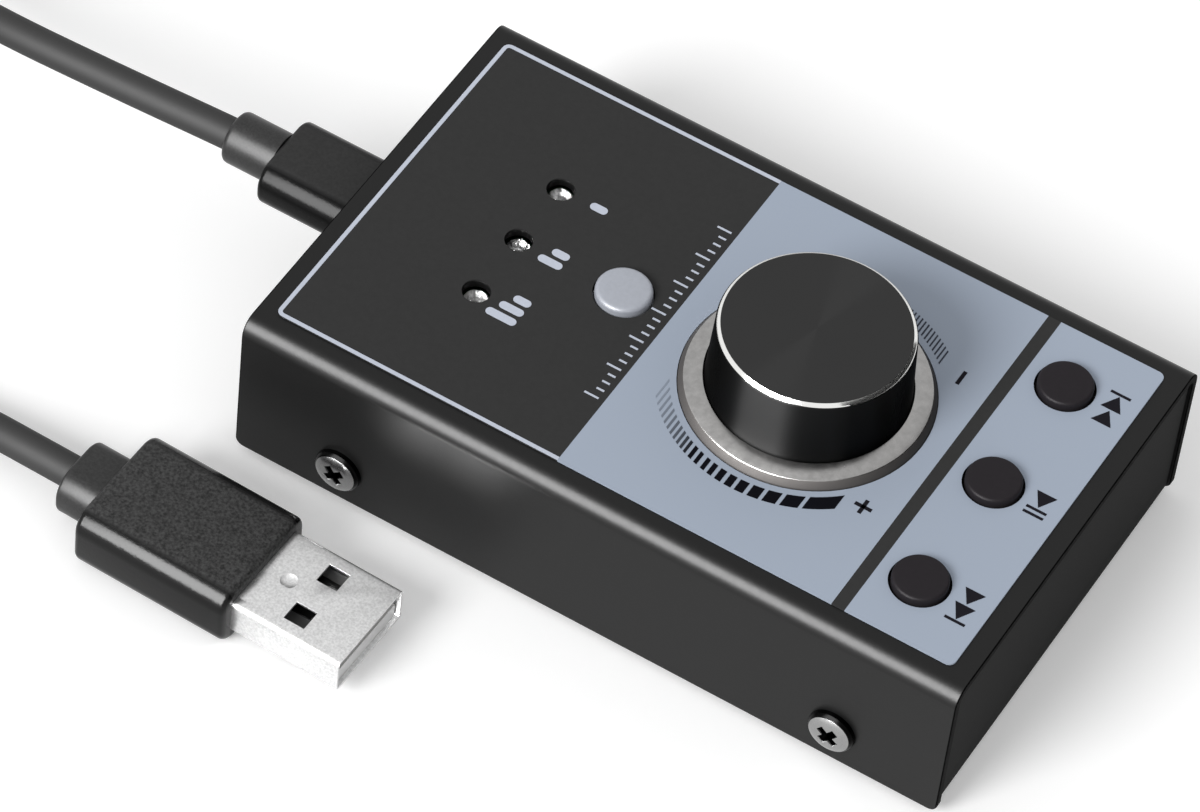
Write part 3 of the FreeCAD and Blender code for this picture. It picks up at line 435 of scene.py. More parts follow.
def grip_skin(name, place, turn, flat, grey, spread, gloss):
    """For a grip whose flat faces reach that far from its middle line."""
    skin = grained(name, colour(grey), FLAT_ROUGHNESS, TEXTURE_GRAIN, TEXTURE_DEPTH, spread,
                   Specular_IOR_Level=gloss)
    local = skin.node("Mapping", {"vector_type": "TEXTURE"}, {
        "Vector": skin.place, "Location": Vector(place) * MM, "Rotation": (0, 0, turn)})
    beside = abs(skin.node("SeparateXYZ", {}, {"Vector": local}, output="Y"))
    side = skin.node("MapRange", {}, {"Value": beside, "From Min": (flat - TEXTURE_FADE) * MM,
                                      "From Max": (flat + TEXTURE_FADE) * MM})
    # painted shade: the polished sides get a much darker colour
    skin.paint(side, SIDE_PAINTED_SHADE)
    skin.set("Roughness", skin.noise * GRIP_SWING
             + (FLAT_ROUGHNESS - side * (FLAT_ROUGHNESS - POLISHED_ROUGHNESS)))
    return skin


BIG_PLUG_PLACE, BIG_PLUG_TURN = (-29, -41.6, 3.9), radians(-1.5)
finishes["small_grip"] = grip_skin("small_grip", (0, 0, 0), 0, 3.5, 48, 0.12, 0.08)
finishes["big_grip"] = grip_skin("big_grip", BIG_PLUG_PLACE, BIG_PLUG_TURN, 5.7, 48, 0.7, 0.17)
print(len(finishes), "finishes with the two grips")

# %% [markdown]
# The record of the model says for each part what it is made of. The names of
# the finishes are those names, so one loop dresses every part, also the ones
# inside that only show through a gap.

# %% Give every part of the frame its finish
slot_of = {row["node"]: row["material_slot"] for row in frame["record"]["subparts"]}
for name, node in frame["nodes"].items():
    node.data.materials.clear()
    node.data.materials.append(finishes[slot_of[name]].material)
print(len(slot_of), "parts have their finish by the record")

# %% [markdown]
# ## Modelling by hand, in code
# Every operator of Blender's menus can be called from a script. It acts on what
# is selected, so each piece starts with nothing selected, and in edit mode the
# faces or edges are chosen by where they lie. Sizes are typed in millimetres,
# and the last step turns the finished mesh into metres with its place in it.

# %% Start a piece, choose parts of it, and finish it
NEAR, SAME_POINT, STRAIGHT = 0.01, 0.0005, 0.99


def begin(name, add, **options):
    """Adds a primitive with nothing else selected, and puts its place into its mesh."""
    bpy.ops.object.select_all(action="DESELECT")
    add(**options)
    piece = bpy.context.object
    piece.name = piece.data.name = name
    bpy.ops.object.transform_apply(location=True, rotation=True, scale=True)
    return piece


def pick(kind, test):
    """In edit mode, selects the edges or faces that pass a test on their middle."""
    bpy.ops.mesh.select_mode(type={"edges": "EDGE", "faces": "FACE"}[kind])
    bpy.ops.mesh.select_all(action="DESELECT")
    mesh = bmesh.from_edit_mesh(bpy.context.object.data)
    chosen = 0
    for part in getattr(mesh, kind):
        if test(sum((vert.co for vert in part.verts), Vector()) / len(part.verts), part):
            part.select_set(True)
            chosen += 1
    bmesh.update_edit_mesh(bpy.context.object.data)
    return chosen


def along(edge, axis):
    """True where an edge runs along the axis x, y or z."""
    way = edge.verts[1].co - edge.verts[0].co
    return abs(way["xyz".index(axis)]) > STRAIGHT * way.length > 0


def only(piece):
    """Selects one piece and nothing else."""
    bpy.ops.object.select_all(action="DESELECT")
    piece.select_set(True)
    bpy.context.view_layer.objects.active = piece


def edit(piece):
    """Opens one piece in edit mode."""
    only(piece)
    bpy.ops.object.mode_set(mode="EDIT")


def leave():
    """Closes edit mode again."""
    bpy.ops.object.mode_set(mode="OBJECT")


def modify(piece, kind, **settings):
    """Adds a modifier with its settings and applies it."""
    only(piece)
    modifier = piece.modifiers.new(kind.lower(), kind)
    for setting, value in settings.items():
        setattr(modifier, setting, value)
    bpy.ops.object.modifier_apply(modifier=modifier.name)


def cut(piece, *cutters):
    """Takes the cutters' space out of a piece."""
    for cutter in cutters:
        modify(piece, "BOOLEAN", object=cutter, operation="DIFFERENCE", solver="EXACT")
        bpy.data.objects.remove(cutter)


def settle(piece, body, finish, *nodes, smooth=30, slot=None):
    """Turns the piece into metres, smooths it, and lets it ride and stand for its nodes."""
    edit(piece)
    bpy.ops.mesh.select_all(action="SELECT")
    bpy.ops.mesh.normals_make_consistent(inside=False)
    leave()
    bpy.ops.object.transform_apply(location=True, rotation=True, scale=True)
    piece.scale = (MM, MM, MM)
    bpy.ops.object.transform_apply(location=True, rotation=True, scale=True)
    bpy.ops.object.shade_smooth_by_angle(angle=radians(smooth))
    piece.data.materials.clear()
    piece.data.materials.append(finishes[finish].material)
    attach(piece, body)
    if nodes:
        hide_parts(*nodes)
    print(piece.name, "has", len(piece.data.polygons), "faces")


# %% Bars and blocks from a cube
def block(name, low, high):
    """A box between two corners."""
    middle = [(a + b) / 2 for a, b in zip(low, high)]
    size = [b - a for a, b in zip(low, high)]
    return begin(name, bpy.ops.mesh.primitive_cube_add, size=1, location=middle, scale=size)


def round_edges(piece, test, width, segments):
    """Rounds the edges that pass the test, as a file would."""
    edit(piece)
    chosen = pick("edges", test)
    bpy.ops.mesh.bevel(offset=width, segments=segments, affect="EDGES")
    leave()
    return chosen


def soften(piece, width, segments=2, angle=40):
    """A small round on every sharp edge."""
    modify(piece, "BEVEL", width=width, segments=segments, limit_method="ANGLE",
           angle_limit=radians(angle))


# %% Turned parts from a circle
def turned(name, rings, centre=(0, 0), sides=96, loop=False):
    """A turned shape through rings of (radius, height); radius 0 closes it at its pole."""
    radius, height = rings[0]
    piece = begin(name, bpy.ops.mesh.primitive_circle_add, vertices=sides, radius=radius,
                  location=(*centre, height))
    edit(piece)
    bpy.ops.mesh.select_mode(type="EDGE")
    bpy.ops.mesh.select_all(action="SELECT")
    for wider, higher in rings[1:] + (rings[:1] if loop else []):
        bpy.ops.mesh.extrude_region_move(
            TRANSFORM_OT_translate={"value": (0, 0, higher - height)})
        if wider:
            bpy.ops.transform.resize(value=(wider / radius, wider / radius, 1),
                                     center_override=(*centre, higher))
        else:
            bpy.ops.mesh.merge(type="CENTER")
        radius, height = wider, higher
    bpy.ops.mesh.select_all(action="SELECT")
    bpy.ops.mesh.remove_doubles(threshold=SAME_POINT)
    bpy.ops.mesh.select_all(action="DESELECT")
    bpy.ops.mesh.select_non_manifold()
    if any(edge.select for edge in bmesh.from_edit_mesh(piece.data).edges):
        bpy.ops.mesh.edge_face_add()
    bpy.ops.mesh.select_all(action="SELECT")
    bpy.ops.mesh.normals_make_consistent(inside=False)
    leave()
    return piece


def copy_of(piece, name, shift):
    """A copy with a mesh of its own, moved by shift."""
    twin = piece.copy()
    twin.data = piece.data.copy()
    twin.name = twin.data.name = name
    bpy.context.scene.collection.objects.link(twin)
    only(twin)
    twin.location = shift
    bpy.ops.object.transform_apply(location=True, rotation=True, scale=True)
    return twin


print("the modelling helpers are ready")

# %% [markdown]
# ## The case
# The cover is one sheet of steel, folded down along both long sides and open at
# the ends. A cube gives its outside. Three kinds of faces are deleted, the two
# long edges are bevelled into bends, and Solidify gives the sheet its
# thickness, so that the inside of each bend follows its outside.

# %% Fold the cover
CASE = (42.5, 26, 20.5)
COVER_LOW = 1.05
SHEET, BEND, LOWER_CORNER = 1, 2, 1
BEND_STEPS, CORNER_STEPS = 10, 6

cover = block("case_cover", (-CASE[0], -CASE[1], COVER_LOW), CASE)
edit(cover)
pick("faces", lambda middle, face: (
    middle.z < COVER_LOW + NEAR or abs(middle.x) > CASE[0] - NEAR))
bpy.ops.mesh.delete(type="FACE")
leave()
round_edges(cover, lambda middle, side: along(side, "x") and middle.z > CASE[2] - NEAR,
            BEND, BEND_STEPS)
modify(cover, "SOLIDIFY", thickness=SHEET, offset=-1, use_even_offset=True)
corners = round_edges(cover, lambda middle, side: along(side, "y") and middle.z < COVER_LOW + NEAR,
                      LOWER_CORNER, CORNER_STEPS)
print("the cover has", corners, "rounded lower corners")

# %% [markdown]
# The holes are punched before the sheet is folded. Here they are drilled after
# that, by round cutters that a Boolean modifier takes away, and at the end every
# sharp edge gets a small round, as paint gives it. The smoothing angle stays
# small: a wider one would tilt the light at the ends of the long bends.

# %% Holes for the lights, the buttons and the knob's bushing
LIGHT_X, LIGHT_PITCH = -24.905, 8.471
MODE_X = -12.1
MEDIA_X, MEDIA_PITCH = 32.151, 15.4
KNOB_X = 10.1
lights = {"low": LIGHT_PITCH, "middle": 0, "high": -LIGHT_PITCH}
media = {"previous": MEDIA_PITCH, "play": 0, "next": -MEDIA_PITCH}
LIGHT_HOLE, BUTTON_HOLE, BUSHING_HOLE, DRILL_DEPTH = 1.55, 3.3, 3.6, 4
PAINTED_EDGE = 0.12
holes = [(LIGHT_X, y, LIGHT_HOLE) for y in lights.values()]
holes += [(MEDIA_X, y, BUTTON_HOLE) for y in media.values()]
holes += [(MODE_X, 0, BUTTON_HOLE), (KNOB_X, 0, BUSHING_HOLE)]
drills = [begin("drill", bpy.ops.mesh.primitive_cylinder_add, vertices=64, radius=radius,
                depth=DRILL_DEPTH, location=(x, y, CASE[2])) for x, y, radius in holes]
cut(cover, *drills)
soften(cover, PAINTED_EDGE)
settle(cover, "case", "powder_coat", "top_cover", smooth=20)

# %% [markdown]
# The cut ends of the sheet are thin, and get a black painted shade that stands in
# for the shadow line along the end of the cover. They read as an edge because
# they mirror next to nothing. Even a matt black paint still catches some light,
# so the mask of these ends also turns them into a black metal.

# %% Painted shade on the cut ends
CUT_END_X, PAINTED_GAP_SHADE = 42.36, colour(4)
COAT_ROUGHNESS, CUT_ROUGHNESS = 0.32, 0.82
coat = finishes["powder_coat"]
painted_gap_ends = abs(coat.axis("X")) > CUT_END_X * MM
# painted shade: the ends of the sheet are painted nearly black
coat.paint(painted_gap_ends, PAINTED_GAP_SHADE)
coat.set("Metallic", painted_gap_ends)
coat.set("Roughness", coat.noise * SWING
         + (COAT_ROUGHNESS + painted_gap_ends * (CUT_ROUGHNESS - COAT_ROUGHNESS)))
print("the sheet's ends are black outside", CUT_END_X, "mm")

# %% [markdown]
# ## The knob
# The knob is turned from aluminium and dyed black. After that the rim is cut
# once more with a diamond, which leaves a thin mirror-bright chamfer. A turned
# part is a ring that is pulled up, widened and narrowed until it closes, as the
# lathe tool travels.

# %% Turn the knob
KNOB_RINGS = [(9.22, 29), (9.62, 22.2), (9.75, 21.45), (10.73, 21.45), (10.86, 21.6),
              (10.44, 29.95), (10.42, 30.03), (10.26, 30.27), (10.02, 30.46), (9.95, 30.5),
              (9.5, 30.5), (8, 30.47), (5, 30.44), (2.5, 30.43), (1, 30.43), (0, 30.43)]
knob = turned("knob_cap", KNOB_RINGS, (KNOB_X, 0), 160)
settle(knob, "knob", "knob_metal", "knob_shell", smooth=14)

# %% [markdown]
# One metal has three looks here. The dyed side is nearly black, the spun face is
# a little lighter, and the chamfer is bare. Two comparisons tell them apart: how
# high a point lies, and how far it is from the knob's own axis. The fine grooves
# of the lathe run round the axis and draw the light into a band on the side.

# %% Dyed side, spun face and bare chamfer
RIM_FOOT, RIM_INSIDE = 30.17, 9.96
SIDE_SHADE, FACE_SHADE, BARE = colour(36), colour(57), colour(236, 236, 234)
SIDE_ROUGHNESS, FACE_ROUGHNESS, KNOB_SWING = 0.31, 0.13, 0.05

dye = finishes["knob_metal"]
off_axis = dye.node("VectorMath", {"operation": "SUBTRACT"},
                    {0: dye.place, 1: (KNOB_X * MM, 0, 0)})
flat = dye.node("VectorMath", {"operation": "MULTIPLY"}, {0: off_axis, 1: (1, 1, 0)})
reach = dye.node("VectorMath", {"operation": "LENGTH"}, {0: flat}, output="Value")
above = dye.axis("Z") > RIM_FOOT * MM
bare = above * (reach > RIM_INSIDE * MM)
dye.shade = SIDE_SHADE
dye.paint(above, FACE_SHADE)
dye.paint(bare, BARE)
dye.set("Roughness", dye.noise * KNOB_SWING
        + (SIDE_ROUGHNESS - above * (SIDE_ROUGHNESS - FACE_ROUGHNESS)))
print("the chamfer is bright above", RIM_FOOT, "mm and outside", RIM_INSIDE, "mm")

# %% [markdown]
# The ring round the knob's foot is a turned washer with a shallow cone on top.
# Its outline is closed: the last circle is joined to the first, so it gets a
# bore and no pole. The cone is ground pale, and the outer side stays dull.

# %% Turn the ring round its foot
RING_RINGS = [(10.97, 20.8), (10.97, 21.98), (11.03, 22.05), (11.12, 22.04), (12.92, 21.66),
              (12.98, 21.62), (13.04, 21.56), (13.46, 20.86), (13.5, 20.76), (13.5, 20.5),
              (6.5, 20.5), (6.5, 20.8)]
ring = turned("knob_ring", RING_RINGS, (KNOB_X, 0), 128, loop=True)
settle(ring, "case", "ring_metal", "trim_ring", smooth=24)

# %% The ring's face is ground pale, and its slanted side stays dull and dark
SIDE_TOP, RING_SIDE = 21.6, colour(70, 68, 67)
DULL_ROUGHNESS, GROUND_ROUGHNESS, RING_SWING = 0.6, 0.2, 0.1
grind = finishes["ring_metal"]
ground = grind.axis("Z") > SIDE_TOP * MM
grind.paint(1 - ground, RING_SIDE)
grind.set("Roughness", grind.noise * RING_SWING
          + (DULL_ROUGHNESS - ground * (DULL_ROUGHNESS - GROUND_ROUGHNESS)))
print("the ring is pale above", SIDE_TOP, "mm")

# %% [markdown]
# ## The buttons
# Each button is a moulded cap that shows only its top and a little of its side.
# The light one is soft at its edge, and the three dark ones have a flat top
# with a small round. One dark cap is turned, and the others are copies of it.

# %% The light button and three dark ones
BRIM, BRIM_LOW, BRIM_TOP = 0.8, 18.6, 19.4
EDGE_STEPS, CROWN = 5, 0.02


def cap_rings(radius, top, edge):
    """A cap: from its brim under the cover up to its top, with a round edge."""
    rings = [(radius + BRIM, BRIM_LOW), (radius + BRIM, BRIM_TOP), (radius, BRIM_TOP)]
    for step in range(EDGE_STEPS + 1):
        turn = pi / 2 * step / EDGE_STEPS
        rings += [(radius - edge * (1 - cos(turn)), top - edge * (1 - sin(turn)))]
    return rings + [(radius / 2, top + CROWN), (0, top + CROWN)]


MODE_RADIUS, MODE_TOP, MODE_EDGE = 3.075, 21.58, 0.5
MEDIA_RADIUS, MEDIA_TOP, MEDIA_EDGE = 3.0, 21.58, 0.35
mode = turned("light_button", cap_rings(MODE_RADIUS, MODE_TOP, MODE_EDGE), (MODE_X, 0), 72)
settle(mode, "mode", "light_cap", "mode_button", smooth=50)
master = turned("dark_button", cap_rings(MEDIA_RADIUS, MEDIA_TOP, MEDIA_EDGE),
                (MEDIA_X, 0), 72)
for button, y in media.items():
    twin = copy_of(master, button + "_cap", (0, y, 0))
    settle(twin, button, "dark_cap", button + "_button", smooth=50)
bpy.data.objects.remove(master)

# %% [markdown]
# ## Case screws
# Four pan-head screws hold the cover. A head is turned, shank first, and then
# two tapered bars are cut out of its top to make the cross. The first screw is
# copied, and each copy is turned about the screw's own line a little
# differently, because nobody lines them up.

# %% Turn one screw and cut its cross
SCREW_X, SCREW_Z, COVER_Y = 29.801, 5.7, 26
HEAD_TOP = 1.25
HEAD_RINGS = [(1.45, -5), (1.45, 0), (2.68, 0), (2.72, 0.05), (2.66, 0.5), (2.5, 0.74),
              (2.3, 0.88), (1.9, 1.04), (1.2, 1.18), (0, HEAD_TOP)]
CROSS_LENGTH, CROSS_WIDTH, CROSS_DEPTH = 3.4, 1.15, 1.1
CROSS_TAPER = 0.55
FINE_EDGE = 0.05

screw = turned("screw", HEAD_RINGS, sides=64)
for length, width in ((CROSS_LENGTH, CROSS_WIDTH), (CROSS_WIDTH, CROSS_LENGTH)):
    bar = block("cross_bar", (-length / 2, -width / 2, HEAD_TOP - CROSS_DEPTH),
                (length / 2, width / 2, HEAD_TOP + CROSS_DEPTH))
    edit(bar)
    pick("faces", lambda middle, face: middle.z < HEAD_TOP - CROSS_DEPTH / 2)
    bpy.ops.transform.resize(value=(CROSS_TAPER, CROSS_TAPER, 1), center_override=(0, 0, 0))
    leave()
    cut(screw, bar)
soften(screw, FINE_EDGE, angle=35)

# %% Put a screw at each end of both long sides
SCREW_PLACES = {"screw_front_left": (-1, -1, 38), "screw_front_right": (1, -1, 52),
                "screw_back_left": (-1, 1, 20), "screw_back_right": (1, 1, 71)}
for name, (end, side, turn) in SCREW_PLACES.items():
    twin = copy_of(screw, name, (0, 0, 0))
    twin.rotation_euler = (radians(-90 * side), 0, 0)
    twin.rotation_euler.rotate_axis("Z", radians(turn))
    twin.location = (end * SCREW_X, side * COVER_Y, SCREW_Z)
    settle(twin, "case", "plated_steel", "side_screws", smooth=25)
bpy.data.objects.remove(screw)

# %% [markdown]
# Hardly any light comes into the cross, and the side of each head lies in shade.
# Both get a black painted shade, found by place: near the screw's own line and
# under its face, or far from that line. The distance is compared as a square,
# which saves taking a root.

# %% Painted shade inside the cross and on the side of each head
RECESS_REACH, RECESS_TOP, FACE_REACH = 1.8, 27.06, 2.34
PAINTED_SHADE_BLACK = colour(10)
steel = finishes["plated_steel"]
beside = abs(steel.axis("X")) - SCREW_X * MM
outward = abs(steel.axis("Y"))
rise = steel.axis("Z") - SCREW_Z * MM
off_line = beside * beside + rise * rise
low_middle = (off_line < (RECESS_REACH * MM) ** 2) * (outward < RECESS_TOP * MM)
# painted shade: black in the cross and on the side of each head
painted_shade = (low_middle + (off_line > (FACE_REACH * MM) ** 2)) * (outward > COVER_Y * MM)
steel.paint(painted_shade, PAINTED_SHADE_BLACK)
print("each head is bright up to", FACE_REACH, "mm from its middle")

# %% [markdown]
# ## The status lights
# Each light is a clear 3 mm lamp that sits a little under the panel. Its lens
# is glass-clear plastic with a round top, and what glints in it is a small
# metal cup with the chip. So each light is two pieces: the lens, and the cup
# inside it.

# %% A clear lens and the cup inside it
LENS_RADIUS, LENS_TOP, LENS_FOOT = 1.5, 20.1, 14.8
FLANGE_RADIUS, FLANGE_TOP, DOME_STEPS = 1.9, 15.8, 8
lens_rings = [(FLANGE_RADIUS, LENS_FOOT), (FLANGE_RADIUS, FLANGE_TOP), (LENS_RADIUS, FLANGE_TOP)]
for step in range(DOME_STEPS):
    turn = pi / 2 * step / DOME_STEPS
    lens_rings += [(LENS_RADIUS * cos(turn), LENS_TOP - LENS_RADIUS * (1 - sin(turn)))]
lens_rings += [(0, LENS_TOP)]
lens_piece = turned("lens", lens_rings, (LIGHT_X, 0), 48)
CUP_RINGS = [(0.3, 15.4), (0.35, 17.6), (1.3, 18.25), (1.3, 18.4), (1.2, 18.42),
             (0.7, 18.2), (0.4, 18.2), (0.35, 18.45), (0, 18.5)]
cup = turned("cup", CUP_RINGS, (LIGHT_X, 0), 32)
for level, y in lights.items():
    twin = copy_of(lens_piece, "lens_" + level, (0, y, 0))
    settle(twin, "case", "clear_lens", "led_" + level, smooth=60)
    twin = copy_of(cup, "cup_" + level, (0, y, 0))
    settle(twin, "case", "reflector", smooth=30, slot="plated_steel")
bpy.data.objects.remove(lens_piece)
bpy.data.objects.remove(cup)

# %% [markdown]
# ## The small plug
# The grip of the small plug is a bar with nearly round sides, and a round
# collar behind it holds the cable. The bar is a cube whose long edges are
# rounded first and whose ends are rounded after that, the order in which the
# rounds meet in the real mould.

# %% Mould its grip and its collar
PLUG_Z, GRIP_HALF = 14.23, 2.9
SMALL_GRIP = ((-53.95, -5.35, PLUG_Z - GRIP_HALF), (-42.25, 5.35, PLUG_Z + GRIP_HALF))
SMALL_EDGE, SMALL_END = 2.6, 0.6
LONG_STEPS, END_STEPS = 10, 4


def moulded(name, low, high, edge, end):
    """A bar along x with rounded long edges, then rounded ends."""
    piece = block(name, low, high)
    round_edges(piece, lambda middle, side: along(side, "x"), edge, LONG_STEPS)
    round_edges(piece, lambda middle, side: min(
        abs(middle.x - low[0]), abs(middle.x - high[0])) < NEAR, end, END_STEPS)
    return piece


grip = moulded("small_grip", *SMALL_GRIP, SMALL_EDGE, SMALL_END)
settle(grip, "case", "small_grip", "usb_c_overmould", smooth=50, slot="grip_plastic")
COLLAR_RINGS = [(3, 0), (3, 5.4), (2.95, 5.68), (2.82, 5.87), (2.6, 6), (0, 6)]
collar = turned("small_collar", COLLAR_RINGS, sides=64)
collar.rotation_euler.y = radians(-90)
collar.location = (SMALL_GRIP[0][0], 0, PLUG_Z)
settle(collar, "case", "grip_plastic", "usb_c_collar", smooth=50)

# %% [markdown]
# ## The big plug
# This plug lies on the desk in front of the box, turned by a few degrees. It is
# modelled along the x axis round zero, and one function turns every piece of it
# and moves it to its place. Its shell is bent from thin sheet, so it is an open
# box with a wall, two square windows on each side and a small pressed dimple.

# %% Its grip and its collar
BIG_GRIP, BIG_EDGE, BIG_END = ((-18.8, -7.5, -3.9), (0, 7.5, 3.9)), 2.4, 0.7
BIG_COLLAR, NECK_EDGE, NECK_END = ((-23.4, -4.25, -3), (-18.3, 4.25, 3)), 2.7, 0.4


def lay_down(piece):
    """Turns a piece of the big plug and moves it to its place on the desk."""
    piece.rotation_euler.z = BIG_PLUG_TURN
    piece.location = BIG_PLUG_PLACE
    only(piece)
    bpy.ops.object.transform_apply(location=True, rotation=True, scale=True)
    return piece


big_grip = lay_down(moulded("big_grip", *BIG_GRIP, BIG_EDGE, BIG_END))
settle(big_grip, "case", "big_grip", "usb_a_overmould", smooth=50, slot="grip_plastic")
big_collar = lay_down(moulded("big_collar", *BIG_COLLAR, NECK_EDGE, NECK_END))
settle(big_collar, "case", "grip_plastic", "usb_a_collar", smooth=50)

# %% Its shell of bent sheet
SHELL_LOW, SHELL_HIGH = (-5.5, -6, -2.25), (13.2, 6, 2.25)
SHELL_WALL, SHELL_CORNER, SHELL_STEPS = 0.3, 0.6, 5
WINDOW, WINDOW_X, WINDOW_Y, PUNCH = 2.5, 6.5, 3, 4
DIMPLE_X, DIMPLE_BALL, DIMPLE_DEPTH = 3.05, 2.2, 0.22

shell = block("big_shell", SHELL_LOW, SHELL_HIGH)
edit(shell)
pick("faces", lambda middle, face: abs(face.normal.x) > STRAIGHT)
bpy.ops.mesh.delete(type="FACE")
leave()
round_edges(shell, lambda middle, side: along(side, "x"), SHELL_CORNER, SHELL_STEPS)
modify(shell, "SOLIDIFY", thickness=SHELL_WALL, offset=-1, use_even_offset=True)
windows = [block("window", (WINDOW_X - WINDOW / 2, y - WINDOW / 2, -PUNCH),
                 (WINDOW_X + WINDOW / 2, y + WINDOW / 2, PUNCH)) for y in (-WINDOW_Y, WINDOW_Y)]
dimple = begin("ball", bpy.ops.mesh.primitive_uv_sphere_add, segments=48, ring_count=24,
               radius=DIMPLE_BALL,
               location=(DIMPLE_X, 0, SHELL_HIGH[2] + DIMPLE_BALL - DIMPLE_DEPTH))
cut(shell, *windows, dimple)
soften(shell, FINE_EDGE, angle=50)
settle(lay_down(shell), "case", "plug_steel", "usb_a_shell", smooth=25)

# %% [markdown]
# Inside the shell lies a pale tongue with gilt strips. At the mouth it catches
# the light. Under the windows it lies deep in the shell, and its shade there is
# painted: the tongue and the strips get a dark painted shade. The model's own
# parts show it, so only their colour changes along the plug.

# %% The tongue is pale at the mouth, with painted shade deep in the shell
MOUTH_X, PAINTED_SHELL_SHADE = -20, colour(80)
for name in ("tongue_plastic", "contact_metal"):
    inner = finishes[name]
    # painted shade on the tongue and the strips behind the mouth
    inner.paint(inner.axis("X") < MOUTH_X * MM, PAINTED_SHELL_SHADE)
print("the shell is dark inside behind x =", MOUTH_X, "mm")

# %% [markdown]
# ## The printed panel
# The panel is one dark film with two pale fields, and its signs are printed on
# top. The fields are painted by the film's material: a comparison of the x
# coordinate gives a mask of 0 or 1, and the mask mixes the two colours. The
# signs are ink, a few hundredths of a millimetre thick, so they are real plates
# and stay sharp however near the camera comes.

# %% Paint the two pale fields on the film
FIELD_LEFT, BAND_LEFT, BAND_RIGHT = -6.3, 26.08, 27.6
PALE = colour(162, 172, 187)

film = finishes["printed_film"]
across = film.axis("X")
in_band = (across > BAND_LEFT * MM) * (across < BAND_RIGHT * MM)
film.paint((across > FIELD_LEFT * MM) * (1 - in_band), PALE)
print("the pale fields begin at", FIELD_LEFT, "and", BAND_RIGHT, "mm")


# %% Inks
def ink(name, *levels):
    """A flat ink by its screen levels."""
    finishes[name] = grained(name, colour(*levels), 0.5, 0.4, 0.001, Specular_IOR_Level=0.0)
    return finishes[name]


ink("pale_ink", 193, 199, 212)
ink("dark_ink", 34, 33, 38)
print("two inks are mixed")

# %% Plates of ink
PRINT_FACE, INK_TOP = 20.7, 20.73


def plate(x, y):
    """A thin plate of ink over two ranges."""
    return block("ink", (x[0], y[0], PRINT_FACE), (x[1], y[1], INK_TOP))


def rounded_plate(x, y, radius):
    """A plate of ink with round corners."""
    piece = plate(x, y)
    round_edges(piece, lambda middle, side: along(side, "z"), radius, 5)
    return piece


def triangle(x, half, base, apex):
    """A plate that narrows from its base line to a point."""
    piece = plate((x - half, x + half), (min(base, apex), max(base, apex)))
    edit(piece)
    pick("faces", lambda middle, face: abs(middle.y - apex) < NEAR)
    bpy.ops.transform.resize(value=(0, 1, 1), center_override=(x, apex, INK_TOP))
    bpy.ops.mesh.select_all(action="SELECT")
    bpy.ops.mesh.remove_doubles(threshold=SAME_POINT)
    leave()
    return piece


def print_signs(name, finish, plates):
    """Joins plates into one piece of print."""
    bpy.ops.object.select_all(action="DESELECT")
    for piece in plates:
        piece.select_set(True)
    bpy.context.view_layer.objects.active = plates[0]
    if len(plates) > 1:
        bpy.ops.object.join()
    piece = bpy.context.object
    piece.name = piece.data.name = name
    settle(piece, "case", finish, slot="printed_film")


# %% [markdown]
# A thin pale line frames the dark field. It is a rounded plate with a smaller
# block cut out of it, and what would lie on the pale field is cut off. The small
# bars beside the lights say what they mean: one, two and three bars stand for the
# low, the middle and the high light.

# %% The line round the dark field
LINE = 0.46
FILM_LEFT, FILM_SIDE, FILM_CORNER = -40.45, 22.9, 0.8
PLATE_RIGHT, INSIDE_RIGHT, CUTTER_END = 10, 20, 30
CUTTER_LOW, CUTTER_HIGH = 20, 21

frame_line = rounded_plate((FILM_LEFT, PLATE_RIGHT), (-FILM_SIDE, FILM_SIDE), FILM_CORNER)
inside = block("inside", (FILM_LEFT + LINE, LINE - FILM_SIDE, CUTTER_LOW),
               (INSIDE_RIGHT, FILM_SIDE - LINE, CUTTER_HIGH))
round_edges(inside, lambda middle, side: along(side, "z"), FILM_CORNER - LINE, 4)
cut(frame_line, inside, block("right_part", (FIELD_LEFT, -CUTTER_END, CUTTER_LOW),
                              (CUTTER_END, CUTTER_END, CUTTER_HIGH)))
print_signs("line_round_dark_field", "pale_ink", [frame_line])

# %% Bars that show which light stands for which level
BAR_RIGHT, BAR_WIDTH, BAR_PITCH, BAR_ROUND = -19.2, 1.0, 1.49, 0.48
BAR_LENGTHS = (2.03, 2.86, 3.6)
level_bars = []
for count, y in zip((1, 2, 3), lights.values()):
    for step in range(count):
        middle = y + BAR_PITCH * ((count - 1) / 2 - step)
        level_bars.append(rounded_plate(
            (BAR_RIGHT - BAR_LENGTHS[step], BAR_RIGHT),
            (middle - BAR_WIDTH / 2, middle + BAR_WIDTH / 2), BAR_WIDTH * BAR_ROUND))
print_signs("level_bars", "pale_ink", level_bars)

# %% [markdown]
# Where the two fields meet runs a plain row of graduation ticks, every fourth
# one longer. The signs beside the buttons are those of every player, made of
# strokes and triangles, and a triangle is a plate with one side shrunk to a
# point. A plus and a minus mark the two ends of the knob's scale.

# %% A plain row of graduation ticks beside the pale field
TICKS, TICK_PITCH, TICK_WIDTH, LONG_EVERY = 25, 1.13, 0.24, 4
TICK_RIGHT, TICK_LONG, TICK_SHORT = -7.0, 1.7, 0.9
ticks = []
for step in range(TICKS):
    middle = TICK_PITCH * (step - (TICKS - 1) / 2)
    length = TICK_SHORT if step % LONG_EVERY else TICK_LONG
    ticks.append(plate((TICK_RIGHT - length, TICK_RIGHT),
                       (middle - TICK_WIDTH / 2, middle + TICK_WIDTH / 2)))
print_signs("graduation_ticks", "pale_ink", ticks)

# %% The signs beside the three dark buttons
SIGN_X, SIGN_HALF, SIGN_STROKE = 37.47, 1.17, 0.33
SKIP_BAR, SKIP_ARROWS = 2.35, ((0.05, 2.1), (-2.1, -0.15))
PLAY_ARROW, PAUSE_BARS = (1.84, -0.2), (-0.55, -1.28)


def stroke(y):
    """A bar across the sign's width."""
    return plate((SIGN_X - SIGN_HALF, SIGN_X + SIGN_HALF),
                 (y - SIGN_STROKE / 2, y + SIGN_STROKE / 2))


